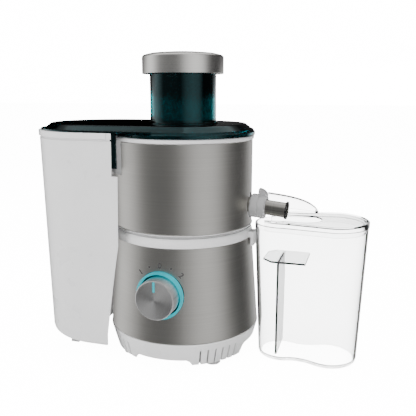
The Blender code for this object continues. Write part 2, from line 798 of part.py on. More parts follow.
def bin_outline(radius, z, near_x=-30.0, steps=24):
    """D-shaped plan: straight sides that run to the machine and a round far end."""
    loop = [(near_x, -radius, z)]
    loop += [(BIN_END_X - radius * math.sin(a), -radius * math.cos(a), z) for a in arc(0, 180, steps)]
    loop.append((near_x, radius, z))
    return loop


def bin_radius(z):
    share = (z - BIN_BOTTOM) / (BIN_TOP - BIN_BOTTOM)
    return BIN_BOTTOM_RADIUS + (BIN_TOP_RADIUS - BIN_BOTTOM_RADIUS) * share


def saddle(name, radius, low, high):
    """The space round the machine that the bin leaves free, wider below where the casing widens."""
    spread = SHELL_BOTTOM_RADIUS - SHELL_TOP_RADIUS
    return turned(name, [(0, low), (radius + spread, low), (radius + spread, SHELL_BOTTOM),
                         (radius, SHELL_TOP), (radius, high), (0, high)], LARGE)


def pulp_bin():
    shell = loft("pulp_bin", [
        bin_outline(BIN_BOTTOM_RADIUS - 3, BIN_BOTTOM), bin_outline(BIN_BOTTOM_RADIUS - 0.8, BIN_BOTTOM + 1.2),
        bin_outline(BIN_BOTTOM_RADIUS + 0.1, BIN_BOTTOM + 4),
        bin_outline(bin_radius(BIN_TOP - BIN_RIM_HEIGHT), BIN_TOP - BIN_RIM_HEIGHT),
        bin_outline(BIN_RIM_RADIUS, BIN_TOP - BIN_RIM_HEIGHT + 0.6), bin_outline(BIN_RIM_RADIUS, BIN_TOP)])
    room = loft("bin_room_cutter", [
        bin_outline(BIN_BOTTOM_RADIUS - BIN_WALL - 2, BIN_BOTTOM + 2.6),
        bin_outline(BIN_BOTTOM_RADIUS - BIN_WALL, BIN_BOTTOM + 6),
        bin_outline(bin_radius(BIN_TOP) - BIN_WALL, BIN_TOP + 4)])
    cut(room, saddle("saddle_inner", BIN_SADDLE_RADIUS + 2.2, 0, 260))
    cut(shell, saddle("saddle_outer", BIN_SADDLE_RADIUS, 0, 260), room)
    cut(shell, disc("bin_mouth", 92.2, BIN_SADDLE_TOP, 260, LARGE))
    toe = block("bin_toe", (-108, -68, 12.5), (-99, 68, 17))
    weld(shell, toe)
    return dress(shell, white_plastic())


# ---------------------------------------------------------------- jug

def lobed(lobes, z, inset=0.0, waist=None, steps=12):
    """Outline round two lobes on the X axis; a waist draws the sides in between them."""
    (left_x, left_r), (right_x, right_r) = lobes
    left_r -= inset
    right_r -= inset
    lean = math.degrees(math.asin((right_r - left_r) / (right_x - left_x)))
    near = []
    for a in arc(180, 270 + (lean if waist is None else 24), steps):
        near.append((left_x + left_r * math.cos(a), left_r * math.sin(a)))
    if waist is None:
        start = near[-1]
        a = math.radians(270 + lean)
        end = (right_x + right_r * math.cos(a), right_r * math.sin(a))
        near.append(((start[0] + end[0]) / 2, (start[1] + end[1]) / 2))
        first = 270 + lean
    else:
        near.append((waist[0], -(waist[1] - inset)))
        first = 246
    for a in arc(first, 360, steps):
        near.append((right_x + right_r * math.cos(a), right_r * math.sin(a)))
    far = [(x, -y) for x, y in reversed(near[1:-1])]
    return [(x, y, z) for x, y in near + far]


def juice_jug():
    waist = (135.0, 22.6)
    mid_lobes = [((a[0] + b[0]) / 2, (a[1] + b[1]) / 2) for a, b in zip(JUG_BOTTOM_LOBES, JUG_TOP_LOBES)]
    loops = [
        lobed(JUG_BOTTOM_LOBES, 0.0, 3.0, waist), lobed(JUG_BOTTOM_LOBES, 1.0, 1.0, waist),
        lobed(JUG_BOTTOM_LOBES, 3.5, 0.0, waist), lobed(mid_lobes, JUG_RIM / 2, 0.0, (135, 26.5)),
        lobed(JUG_TOP_LOBES, JUG_RIM - 3), lobed(JUG_TOP_LOBES, JUG_RIM),
        lobed(JUG_TOP_LOBES, JUG_RIM, JUG_WALL),
        lobed(mid_lobes, JUG_RIM / 2, JUG_WALL, (135, 26.5)), lobed(JUG_BOTTOM_LOBES, 4.5, JUG_WALL, waist),
        lobed(JUG_BOTTOM_LOBES, 2.8, JUG_WALL + 1.5, waist)]
    return dress(loft("juice_jug", loops), clear())


def foam_separator():
    """Upright plate across the jug with a flat top, which holds the foam back from the lip."""
    plate = block("foam_separator", (108.4, -21.2, 6.0), (110, 21.2, 108))
    tab = prism("separator_tab", [(92, -12), (102, -22), (137, -22), (137, 20), (131, 22), (101, 22), (92, 13)],
                107.2, 108.8)
    return dress(weld(plate, tab), clear())


def jug_lid():
    lobes = (JUG_TOP_LOBES[0], (JUG_TOP_LOBES[1][0], JUG_LID_RADIUS_RIGHT))
    under = JUG_RIM + GAP
    loops = [
        lobed(lobes, JUG_LID_TOP - 1.2, 3.6), lobed(lobes, JUG_LID_TOP - 1.2, 2.4),
        lobed(lobes, JUG_LID_TOP, 1.2), lobed(lobes, JUG_LID_TOP - 0.8, 0.0), lobed(lobes, under, 0.0),
        lobed(lobes, under, JUG_WALL + 1.3), lobed(lobes, JUG_RIM - 5, JUG_WALL + 1.5),
        lobed(lobes, JUG_RIM - 5, JUG_WALL + 2.9), lobed(lobes, JUG_LID_TOP - 2.8, JUG_WALL + 2.9)]
    lid = loft("jug_lid", loops)
    slot = block("notch_slot", (60, -NOTCH_HALF_WIDTH, 130), (132, NOTCH_HALF_WIDTH, 160))
    end = disc("notch_end", NOTCH_HALF_WIDTH, 130, 160, 32, Matrix.Translation((132, 0, 0)))
    left = block("notch_left", (60, -50, 130), (94, 50, 160))
    return dress(cut(lid, weld(slot, end, left)), clear())


def build():
    base_skirt()
    bottom_plate()
    feet()
    base_screws()
    cord_gland()
    lower_shell()
    motor_deck()
    motor_carrier()
    bearing_bridge()
    bearing("bearing_lower", 42.3)
    bearing("bearing_upper", 104.6)
    stator_core()
    field_coils()
    motor_bushes()
    brushes()
    rotary_switch()
    control_board()
    interlock_switch()
    motor_shaft()
    cooling_fan()
    armature()
    commutator()
    drive_coupling()
    shaft_seal()
    basket_base()
    filter_cone()
    basket_rim()
    grater_disc()
    chute_solids(collector_bowl())
    collector_sleeve()
    spout_tube()
    spout_seal()
    valve_collar()
    nozzle_hood()
    dial_plate()
    led_ring()
    knob_body()
    knob_pointer()
    knob_stem()
    lid_cover()
    pusher_body()
    pusher_cap()
    pulp_bin()
    juice_jug()
    foam_separator()
    jug_lid()


build()
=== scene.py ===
"""Looks for a centrifugal juicer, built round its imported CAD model.

Lengths are in millimetres until a mesh is finished, and are measured from the motor shaft:
+X is the jug's side, -X the pulp bin's, -Y the front, and Z = 0 the table.
"""

import math

import bpy
import bmesh
from mathutils import Matrix, Vector

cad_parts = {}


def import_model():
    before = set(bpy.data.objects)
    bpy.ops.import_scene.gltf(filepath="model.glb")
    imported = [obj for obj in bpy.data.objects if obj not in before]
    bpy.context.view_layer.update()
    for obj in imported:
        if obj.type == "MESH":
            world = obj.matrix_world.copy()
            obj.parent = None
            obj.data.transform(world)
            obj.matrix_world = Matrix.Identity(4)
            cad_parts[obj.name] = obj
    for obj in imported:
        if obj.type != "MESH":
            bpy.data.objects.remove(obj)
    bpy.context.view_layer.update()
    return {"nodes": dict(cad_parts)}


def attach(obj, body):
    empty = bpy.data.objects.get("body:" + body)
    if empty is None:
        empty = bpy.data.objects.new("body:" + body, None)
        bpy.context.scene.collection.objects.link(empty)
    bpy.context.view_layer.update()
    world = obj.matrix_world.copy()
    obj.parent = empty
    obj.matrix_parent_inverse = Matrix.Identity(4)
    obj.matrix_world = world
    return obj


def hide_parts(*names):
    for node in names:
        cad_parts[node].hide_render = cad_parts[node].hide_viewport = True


MM = 0.001
AXIS_X = -17.55            # where the motor shaft stands in the row's frame
GAP = 0.3
ROUND = 160                # segments round the casings
MEDIUM = 96
SMALL = 48
SHARP = math.radians(32)   # edges sharper than this are rounded

# Motor base
FOOT_CIRCLE = 65.0
FOOT_RADIUS = 8.5
FOOT_HEIGHT = 5.0
SKIRT_BOTTOM_RADIUS = 76.0
SKIRT_TOP_RADIUS = 82.4
SKIRT_TOP = 29.7
SKIRT_WALL = 2.6
VENT_BOTTOM = 3.5          # below the skirt, so the slots are open at its lower edge
VENT_TOP = 22.0
VENT_WIDTH = 1.8
VENT_STEP = 6.0            # degrees
VENTS_PER_LOBE = 6
SCREW_CIRCLE = 34.0
CORD_Z = 20.5
SHELL_BOTTOM = 30.0
SHELL_TOP = 127.7
SHELL_BOTTOM_RADIUS = 82.0
SHELL_TOP_RADIUS = 74.6
SHEET = 1.2

# Deck, collector and its sleeve
DECK_TOP = 137.2
RING_RADIUS = 75.0
COLLECTOR_BOTTOM = 137.6
SLEEVE_BOTTOM = 141.3
SLEEVE_TOP = 230.6
SLEEVE_RADIUS = 74.2
BOWL_RADIUS = 72.6
BOWL_INNER_RADIUS = 70.5
BOWL_FLOOR = 144.5
BOWL_TOP = 235.0
TOP_RING_RADIUS = 75.5
CHUTE_HALF_WIDTH = 42.0
CHEEK_HALF_WIDTH = 57.0
CHUTE_FLOOR = 199.5

# Lid and pusher
FLANGE_RADIUS = 76.5
LID_BOTTOM = 235.3
LID_TOP = 247.0
LID_TOP_RADIUS = 66.5
LID_END_X = -84.0
TUBE_RADIUS = 35.0
TUBE_WALL = 2.5
TUBE_TOP = 297.3
TUBE_BOTTOM = 172.0
CAP_RADIUS = 42.8
CAP_BOTTOM = 297.6
CAP_TOP = 320.0

# Pulp bin
BIN_END_X = -82.0
BIN_TOP_RADIUS = 79.5
BIN_BOTTOM_RADIUS = 75.5
BIN_RIM_RADIUS = 80.3
BIN_RIM_HEIGHT = 6.0
BIN_BOTTOM = 16.0
BIN_TOP = 240.0
BIN_WALL = 2.4
BIN_SADDLE_RADIUS = 89.0
BIN_SADDLE_TOP = 198.0
GROOVE_X = -86.0           # finger groove in the bin's front and back
GROOVE_TOP = 184.0
GROOVE_RADIUS = 46.0
GROOVE_DEPTH = 2.0
RIM_BAND_END_X = -52.0

# Knob
KNOB_Z = 80.0
KNOB_RADIUS = 20.3
KNOB_FACE_Y = -94.0
RING_OUTER = 24.5
RING_INNER = 22.2
RING_FACE_Y = -80.7
MARK_RADIUS = 30.3
MARK_HEIGHT = 5.6

# Spout
SPOUT_ROOT = Vector((73.0, 0.0, 162.2))
SPOUT_TILT = math.radians(6.0)
SPOUT_TUBE_RADIUS = 8.0
SPOUT_TUBE_LENGTH = 41.0
COLLAR_RADIUS = 12.6
COLLAR_START = 1.9
COLLAR_END = 18.5

HOOD_LENGTH = 74.0
HOOD_HEIGHT = 16.4
HOOD_HALF_WIDTH = 11.6

# Juice jug
JUG_RIM = 145.4
JUG_WALL = 2.2
JUG_LID_TOP = 151.5
JUG_LID_RADIUS_RIGHT = 37.4
JUG_TOP_LOBES = ((110.5, 30.0), (160.0, 36.6))
JUG_BOTTOM_LOBES = ((112.0, 25.5), (161.5, 29.5))
NOTCH_HALF_WIDTH = 18.0
NARROW = 260 * MM * MM     # faces of the separator smaller than this are its edges

# Colours of the smoked plastic where little or much light comes through, painted in as shade and as light
# shining through it
SMOKE_SHADED = (0.001, 0.02, 0.024)
SMOKE_LIT = (0.001, 0.20, 0.22)

# Camera, in the row's frame
CAMERA_PLACE = (0.17941, -0.57201, 0.27956)
CAMERA_LOOK = (-0.27835, 0.93869, -0.20348)
CAMERA_LENS = 48.46
CAMERA_AZIMUTH = math.radians(19.0)

# Studio. Screens are (degrees to the right of the camera, light); the others are (position, light).
SCREENS = ((-180, 0.02), (-142, 0.02), (-126, 0.75), (-100, 0.74), (-72, 0.1), (-8, 0.07), (12, 0.44),
           (34, 0.62), (54, 0.5), (72, 0.03), (118, 0.02), (136, 0.62), (180, 0.8))
BACK_SCREEN = ((0.0, 1.0), (0.16, 1.0), (0.2, 0.0), (0.8, 0.0), (0.84, 1.0), (1.0, 1.0))
BACK_SCREEN_HEIGHT = ((0.0, 0.0), (0.05, 1.0), (0.6, 1.0), (0.7, 0.0))
CEILING = ((0.5, 0.0), (0.85, 0.4))
SKY_STRENGTH = 2.0
BACKDROP_GLOW = 8.0
FLOOR_GLOW = 15.0
FLOOR_THROUGH_CLEAR = 8.0


# ---------------------------------------------------------------- materials

def shaded(name):
    """An empty Principled material, its node tree and its shader."""
    made = bpy.data.materials.new(name)
    made.use_nodes = True
    return made, made.node_tree, made.node_tree.nodes["Principled BSDF"]


def feed(shader, socket, value):
    """Link an output into one of the shader's sockets."""
    shader.id_data.links.new(value, shader.inputs[socket])


def own_coords(tree):
    """The piece's own coordinates, in metres in the row's frame."""
    return tree.nodes.new("ShaderNodeTexCoord").outputs["Object"]


def noise(tree, scale, stretch=(1.0, 1.0, 1.0), detail=4.0):
    """Noise on the piece's own coordinates, squeezed along its axes by stretch."""
    mapping = tree.nodes.new("ShaderNodeMapping")
    mapping.inputs["Scale"].default_value = stretch
    texture = tree.nodes.new("ShaderNodeTexNoise")
    texture.inputs["Scale"].default_value = scale
    texture.inputs["Detail"].default_value = detail
    tree.links.new(own_coords(tree), mapping.inputs["Vector"])
    tree.links.new(mapping.outputs["Vector"], texture.inputs["Vector"])
    return texture.outputs["Fac"]


def tones(tree, factor, dark, light, start=0.3, end=0.7):
    """Colour that runs from dark to light as factor runs from start to end."""
    ramp = tree.nodes.new("ShaderNodeValToRGB")
    ramp.color_ramp.elements[0].position = start
    ramp.color_ramp.elements[0].color = (*dark, 1.0)
    ramp.color_ramp.elements[1].position = end
    ramp.color_ramp.elements[1].color = (*light, 1.0)
    tree.links.new(factor, ramp.inputs["Fac"])
    return ramp.outputs["Color"]


def between(tree, factor, low, high):
    """Number that runs from low to high as factor runs from 0.3 to 0.7."""
    node = tree.nodes.new("ShaderNodeMapRange")
    node.inputs["From Min"].default_value = 0.3
    node.inputs["From Max"].default_value = 0.7
    node.inputs["To Min"].default_value = low
    node.inputs["To Max"].default_value = high
    tree.links.new(factor, node.inputs["Value"])
    return node.outputs["Result"]


def relief(tree, shader, height, strength, distance):
    """Let a height pattern tilt the surface a little."""
    node = tree.nodes.new("ShaderNodeBump")
    node.inputs["Strength"].default_value = strength
    node.inputs["Distance"].default_value = distance
    tree.links.new(height, node.inputs["Height"])
    feed(shader, "Normal", node.outputs["Normal"])


def moulded(name, dark, light, smooth, rough, grain=0.05, coat=0.0):
    """Moulded plastic or rubber: faint mottling, uneven gloss and a fine grain."""
    made, tree, shader = shaded(name)
    broad = noise(tree, 22.0)
    fine = noise(tree, 900.0, detail=2.0)
    feed(shader, "Base Color", tones(tree, broad, dark, light))
    feed(shader, "Roughness", between(tree, broad, smooth, rough))
    shader.inputs["Coat Weight"].default_value = coat
    shader.inputs["Coat Roughness"].default_value = 0.15
    relief(tree, shader, fine, grain, 0.0001)
    return made


def brushed(name, dark, light, stretch, smooth, rough, anisotropy=0.35):
    """Brushed metal: long fine streaks that change its tone, gloss and relief."""
    made, tree, shader = shaded(name)
    streaks = noise(tree, 1.0, stretch, 6.0)
    haze = noise(tree, 14.0)
    shader.inputs["Metallic"].default_value = 1.0
    shader.inputs["Anisotropic"].default_value = anisotropy
    feed(shader, "Base Color", tones(tree, streaks, dark, light))
    feed(shader, "Roughness", between(tree, haze, smooth, rough))
    relief(tree, shader, streaks, 0.05, 0.00005)
    return made


def white_plastic():
    return moulded("white_plastic", (0.80, 0.80, 0.805), (0.85, 0.85, 0.85), 0.26, 0.36, 0.04, 0.2)


def grey_plastic():
    return moulded("grey_plastic", (0.30, 0.30, 0.305), (0.35, 0.35, 0.35), 0.38, 0.5)


def black_plastic():
    return moulded("black_plastic", (0.008, 0.008, 0.009), (0.015, 0.015, 0.017), 0.22, 0.34)


def matt_black_plastic():
    return moulded("matt_black_plastic", (0.001, 0.001, 0.0012), (0.003, 0.003, 0.0033), 0.7, 0.85)


def black_rubber():
    return moulded("black_rubber", (0.012, 0.012, 0.012), (0.025, 0.025, 0.025), 0.6, 0.75, 0.2)


def grey_rubber():
    return moulded("grey_rubber", (0.46, 0.46, 0.46), (0.54, 0.54, 0.54), 0.5, 0.65, 0.15)


def carbon():
    return moulded("carbon", (0.02, 0.02, 0.022), (0.05, 0.05, 0.055), 0.6, 0.8, 0.3)


def ink():
    return moulded("ink", (0.05, 0.05, 0.05), (0.075, 0.075, 0.075), 0.5, 0.6)


def brushed_steel():
    return brushed("brushed_steel", (0.53, 0.52, 0.495), (0.57, 0.56, 0.535), (9.0, 9.0, 1400.0), 0.36, 0.42)


def cap_steel():
    return brushed("cap_steel", (0.80, 0.79, 0.76), (0.86, 0.85, 0.82), (9.0, 9.0, 1400.0), 0.30, 0.36)


def turned_steel():
    return brushed("turned_steel", (0.48, 0.48, 0.48), (0.64, 0.64, 0.64), (20.0, 20.0, 900.0), 0.22, 0.34)


def spout_steel():
    return brushed("spout_steel", (0.46, 0.45, 0.42), (0.58, 0.57, 0.53), (500.0, 12.0, 12.0), 0.24, 0.32)


def copper():
    return brushed("copper", (0.50, 0.17, 0.08), (0.78, 0.34, 0.18), (30.0, 30.0, 700.0), 0.25, 0.4)


def laminations():
    """Stacked steel sheets: dark lines at even heights."""
    made, tree, shader = shaded("laminations")
    stack = noise(tree, 1.0, (2.0, 2.0, 1600.0), 1.0)
    shader.inputs["Metallic"].default_value = 1.0
    feed(shader, "Base Color", tones(tree, stack, (0.08, 0.08, 0.085), (0.32, 0.32, 0.33)))
    feed(shader, "Roughness", between(tree, stack, 0.4, 0.6))
    relief(tree, shader, stack, 0.4, 0.0002)
    return made


def circuit_board():
    """Green board with a pattern of paler copper areas under the lacquer."""
    made, tree, shader = shaded("circuit_board")
    cells = tree.nodes.new("ShaderNodeTexVoronoi")
    cells.distance = "CHEBYCHEV"
    cells.inputs["Scale"].default_value = 260.0
    tree.links.new(own_coords(tree), cells.inputs["Vector"])
    feed(shader, "Base Color", tones(tree, cells.outputs["Distance"], (0.01, 0.10, 0.04), (0.04, 0.24, 0.10)))
    feed(shader, "Roughness", between(tree, noise(tree, 60.0), 0.25, 0.4))
    relief(tree, shader, cells.outputs["Distance"], 0.2, 0.0001)
    return made


def sieve_steel():
    """Filter steel whose close rows of round holes are dark dots."""
    made, tree, shader = shaded("sieve_steel")
    cells = tree.nodes.new("ShaderNodeTexVoronoi")
    cells.inputs["Scale"].default_value = 700.0
    cells.inputs["Randomness"].default_value = 0.15
    tree.links.new(own_coords(tree), cells.inputs["Vector"])
    shader.inputs["Metallic"].default_value = 1.0
    dots = tones(tree, cells.outputs["Distance"], (0.02, 0.02, 0.02), (0.6, 0.6, 0.59), 0.28, 0.36)
    feed(shader, "Base Color", dots)
    feed(shader, "Roughness", between(tree, noise(tree, 40.0), 0.25, 0.4))
    relief(tree, shader, cells.outputs["Distance"], 0.5, 0.0002)
    return made


def smoked_plastic():
    """Dark teal see-through plastic with painted light: nearly black over the bowl, painted greener up the
    tube and at the far end where light comes through.
    """
    made, tree, shader = shaded("smoked_plastic")
    split = tree.nodes.new("ShaderNodeSeparateXYZ")
    tree.links.new(own_coords(tree), split.inputs["Vector"])
    height = calculate(tree, "MULTIPLY", split.outputs["Z"], 2.0)
    reach = calculate(tree, "MULTIPLY", split.outputs["X"], -4.0)
    # Painted light: a lighter, greener colour up the tube and at the far end, where light comes through
    up_tube = stepped(tree, height, ((0.495, 0.0), (0.51, 0.14)))
    far_end = stepped(tree, reach, ((0.5, 0.0), (0.62, 1.0)))
    painted_light = calculate(tree, "MAXIMUM", up_tube, far_end)
    shade = calculate(tree, "MULTIPLY_ADD", noise(tree, 18.0), 0.1, painted_light)
    feed(shader, "Base Color", tones(tree, shade, SMOKE_SHADED, SMOKE_LIT, 0.05, 1.0))
    feed(shader, "Roughness", between(tree, noise(tree, 18.0), 0.02, 0.05))
    shader.inputs["Transmission Weight"].default_value = 1.0
    shader.inputs["IOR"].default_value = 1.5
    shader.inputs["Specular Tint"].default_value = (0.42, 0.93, 1.0, 1.0)
    relief(tree, shader, noise(tree, 60.0, detail=1.0), 0.02, 0.0002)
    return made


def smoked_edge_glow():
    """The same plastic at its edges, painted bright cyan as a glow where light runs through it and out."""
    made, tree, shader = shaded("smoked_edge_glow")
    glow = tones(tree, noise(tree, 40.0), (0.0, 0.34, 0.38), (0.0, 0.42, 0.46))
    feed(shader, "Base Color", glow)
    feed(shader, "Roughness", between(tree, noise(tree, 30.0), 0.1, 0.2))
    return made


def clear_plastic(name, dark, light, bend, density):
    """Clear moulded plastic, darker the further light runs in it; bend is its refractive index."""
    made, tree, shader = shaded(name)
    broad = noise(tree, 16.0)
    feed(shader, "Base Color", tones(tree, broad, dark, light))
    feed(shader, "Roughness", between(tree, broad, 0.0, 0.02))
    shader.inputs["Transmission Weight"].default_value = 1.0
    shader.inputs["IOR"].default_value = bend
    relief(tree, shader, noise(tree, 45.0, detail=1.0), 0.02, 0.0002)
    absorb = tree.nodes.new("ShaderNodeVolumeAbsorption")
    absorb.inputs["Color"].default_value = (0.05, 0.06, 0.06, 1.0)
    absorb.inputs["Density"].default_value = density
    output = next(node for node in tree.nodes if node.type == "OUTPUT_MATERIAL")
    tree.links.new(absorb.outputs["Volume"], output.inputs["Volume"])
    return made


def lit_plastic():
    """Cyan light guide, a little uneven along its length."""
    made, tree, shader = shaded("lit_plastic")
    broad = noise(tree, 70.0)
    glow = tones(tree, broad, (0.0, 0.42, 0.50), (0.0, 0.48, 0.56))
    feed(shader, "Base Color", tones(tree, broad, (0.0, 0.08, 0.10), (0.0, 0.12, 0.14)))
    feed(shader, "Emission Color", glow)
    feed(shader, "Emission Strength", between(tree, broad, 0.9, 1.1))
    feed(shader, "Roughness", between(tree, broad, 0.25, 0.35))
    return made


def spun_aluminium():
    """Circular turned face: fine rings round the knob's axis, with a radial sheen."""
    made, tree, shader = shaded("spun_aluminium")
    place = tree.nodes.new("ShaderNodeMapping")
    place.inputs["Location"].default_value = (-AXIS_X * MM, 0.0, -KNOB_Z * MM)
    place.inputs["Scale"].default_value = (1.0, 0.0, 1.0)
    rings = tree.nodes.new("ShaderNodeTexWave")
    rings.wave_type = "RINGS"
    rings.rings_direction = "Y"
    rings.inputs["Scale"].default_value = 320.0
    rings.inputs["Distortion"].default_value = 3.0
    rings.inputs["Detail"].default_value = 3.0
    tangent = tree.nodes.new("ShaderNodeTangent")
    tangent.direction_type = "RADIAL"
    tangent.axis = "Y"
    tree.links.new(own_coords(tree), place.inputs["Vector"])
    tree.links.new(place.outputs["Vector"], rings.inputs["Vector"])
    feed(shader, "Tangent", tangent.outputs["Tangent"])
    shader.inputs["Metallic"].default_value = 1.0
    shader.inputs["Anisotropic"].default_value = 0.95
    shader.inputs["Anisotropic Rotation"].default_value = 0.125
    feed(shader, "Base Color", tones(tree, rings.outputs["Fac"], (0.74, 0.74, 0.74), (0.86, 0.86, 0.86)))
    feed(shader, "Roughness", between(tree, rings.outputs["Fac"], 0.46, 0.52))
    relief(tree, shader, rings.outputs["Fac"], 0.03, 0.00005)
    return made


# ---------------------------------------------------------------- shapes

def finish_mesh(name, bm):
    """Turn a bmesh drawn in millimetres round the motor shaft into an object in the row's frame."""
    bmesh.ops.scale(bm, vec=(MM, MM, MM), verts=bm.verts)
    bmesh.ops.translate(bm, vec=(AXIS_X * MM, 0.0, 0.0), verts=bm.verts)
    bmesh.ops.recalc_face_normals(bm, faces=bm.faces)
    mesh = bpy.data.meshes.new(name)
    bm.to_mesh(mesh)
    bm.free()
    obj = bpy.data.objects.new(name, mesh)
    bpy.context.scene.collection.objects.link(obj)
    return obj


def ring(name, profile, segments, place=None):
    """Spin a closed (radius, height) outline round Z, or round the Z axis of another frame."""
    bm = bmesh.new()
    verts = [bm.verts.new((radius, 0.0, height)) for radius, height in profile]
    edges = [bm.edges.new((verts[i - 1], verts[i])) for i in range(len(verts))]
    return spun(name, bm, verts + edges, segments, place)


def turned(name, profile, segments, place=None):
    """Spin an open outline that starts and ends on the axis into a solid."""
    bm = bmesh.new()
    verts = [bm.verts.new((radius, 0.0, height)) for radius, height in profile]
    edges = [bm.edges.new((verts[i], verts[i + 1])) for i in range(len(verts) - 1)]
    return spun(name, bm, verts + edges, segments, place)


def spun(name, bm, outline, segments, place):
    bmesh.ops.spin(bm, geom=outline, cent=(0, 0, 0), axis=(0, 0, 1),
                   angle=2 * math.pi, steps=segments, use_merge=True)
    bmesh.ops.remove_doubles(bm, verts=bm.verts, dist=1e-4)
    bmesh.ops.dissolve_degenerate(bm, edges=bm.edges, dist=1e-5)
    if place:
        bmesh.ops.transform(bm, matrix=place, verts=bm.verts)
    return finish_mesh(name, bm)


def disc(name, radius, bottom, top, segments, place=None):
    return turned(name, [(0, bottom), (radius, bottom), (radius, top), (0, top)], segments, place)


def block(name, low, high, place=None):
    bm = bmesh.new()
    bmesh.ops.create_cube(bm, size=1.0)
    low = Vector(low)
    high = Vector(high)
    bmesh.ops.scale(bm, vec=high - low, verts=bm.verts)
    bmesh.ops.translate(bm, vec=(low + high) / 2, verts=bm.verts)
    if place:
        bmesh.ops.transform(bm, matrix=place, verts=bm.verts)
    return finish_mesh(name, bm)


def loft(name, loops):
    """Skin a stack of closed loops that have the same number of points, and cap both ends."""
    bm = bmesh.new()
    rows = [[bm.verts.new(point) for point in loop] for loop in loops]
    count = len(rows[0])
    for low, high in zip(rows, rows[1:]):
        for i in range(count):
            j = (i + 1) % count
            bm.faces.new((low[i], low[j], high[j], high[i]))
    bm.faces.new(rows[0][::-1])
    bm.faces.new(rows[-1])
    return finish_mesh(name, bm)


def prism(name, outline, low, high, place=None):
    """Extrude a flat outline between two heights."""
    bm = bmesh.new()
    face = bm.faces.new([bm.verts.new((x, y, low)) for x, y in outline])
    grown = bmesh.ops.extrude_face_region(bm, geom=[face])
    moved = [item for item in grown["geom"] if isinstance(item, bmesh.types.BMVert)]
    bmesh.ops.translate(bm, vec=(0, 0, high - low), verts=moved)
    if place:
        bmesh.ops.transform(bm, matrix=place, verts=bm.verts)
    return finish_mesh(name, bm)


def boolean(obj, other, operation):
    """Cut, weld or intersect at once, and remove the other object."""
    modifier = obj.modifiers.new("shape", "BOOLEAN")
    modifier.operation = operation
    modifier.object = other
    modifier.solver = "EXACT"
    graph = bpy.context.evaluated_depsgraph_get()
    result = bpy.data.meshes.new_from_object(obj.evaluated_get(graph))
    obj.modifiers.clear()
    obj.data = result
    bpy.data.objects.remove(other, do_unlink=True)
    return obj


def cut(obj, *cutters):
    for cutter in cutters:
        boolean(obj, cutter, "DIFFERENCE")
    return obj


def weld(obj, *others):
    for other in others:
        boolean(obj, other, "UNION")
    return obj


def rounded(obj, width, steps):
    """Smooth shading with small round edges of the given width in millimetres."""
    obj.data.shade_smooth()
    obj.data.set_sharp_from_angle(angle=SHARP)
    bevel = obj.modifiers.new("edges", "BEVEL")
    bevel.width = width * MM
    bevel.segments = steps
    bevel.limit_method = "ANGLE"
    bevel.angle_limit = SHARP
    bevel.harden_normals = True
    even = obj.modifiers.new("even", "WEIGHTED_NORMAL")
    even.keep_sharp = True
    return obj


def fitted(obj, body, finish, *nodes):
    """Give a piece its material and its body, and let it stand for its CAD nodes."""
    obj.data.materials.clear()
    obj.data.materials.append(finish)
    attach(obj, body)
    if nodes:
        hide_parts(*nodes)
    return obj


def repaint(obj, finish, chosen):
    """Give the faces that chosen picks a second material."""
    obj.data.materials.append(finish)
    for face in obj.data.polygons:
        if chosen(face):
            face.material_index = 1


def arc(start, end, steps):
    """Angles in radians from start to end, both given in degrees."""
    return [math.radians(start + (end - start) * i / steps) for i in range(steps + 1)]


def polar(radius, degrees):
    """A point on a circle; 0 degrees is the front, -Y, and 90 degrees is +X."""
    angle = math.radians(degrees)
    return radius * math.sin(angle), -radius * math.cos(angle)


def turn_to(degrees):
    """A frame whose -Y points out at the given bearing from the front."""
    return Matrix.Rotation(math.radians(degrees), 4, "Z")


def front_frame():
    """A frame whose Z axis runs along -Y through the knob."""
    return Matrix.Translation((0, 0, KNOB_Z)) @ Matrix.Rotation(math.pi / 2, 4, "X")


def spout_frame():
    """A frame whose Z axis is the spout's axis and whose X axis points up from it."""
    along = Vector((math.cos(SPOUT_TILT), 0, -math.sin(SPOUT_TILT)))
    up = Vector((math.sin(SPOUT_TILT), 0, math.cos(SPOUT_TILT)))
    side = along.cross(up)
    place = Matrix((up, side, along)).transposed().to_4x4()
    return Matrix.Translation(SPOUT_ROOT) @ place


def cord_frame():
    """A frame whose Z axis runs out of the back of the base, along +Y."""
    return Matrix.Translation((0, SKIRT_TOP_RADIUS - 3, CORD_Z)) @ Matrix.Rotation(-math.pi / 2, 4, "X")


def shell_radius(z):
    """Outer radius of the tapered steel shell."""
    share = (z - SHELL_BOTTOM) / (SHELL_TOP - SHELL_BOTTOM)
    return SHELL_BOTTOM_RADIUS + (SHELL_TOP_RADIUS - SHELL_BOTTOM_RADIUS) * share


# ---------------------------------------------------------------- base

def vent_cutter():
    """The vent slots of the four lobes."""
    bm = bmesh.new()
    for lobe in (45, 135, 225, 315):
        for index in range(VENTS_PER_LOBE):
            bearing = lobe + (index - (VENTS_PER_LOBE - 1) / 2) * VENT_STEP
            place = turn_to(bearing) @ Matrix.Translation((0, -79, (VENT_BOTTOM + VENT_TOP) / 2))
            size = Matrix.Diagonal((VENT_WIDTH, 16, VENT_TOP - VENT_BOTTOM, 1))
            bmesh.ops.create_cube(bm, size=1.0, matrix=place @ size)
    return finish_mesh("vents", bm)


def arch_cutter(name, bearing, half, top):
    """A low gateway with splayed sides and soft corners, cut through one side of the skirt."""
    outline = [(-half - 3, -1), (-half, 5), (-half + 2, top - 2), (-half + 5, top)]
    outline += [(-x, z) for x, z in reversed(outline)]
    place = turn_to(bearing) @ Matrix.Rotation(math.pi / 2, 4, "X")
    return prism(name, outline, 42, 92, place)


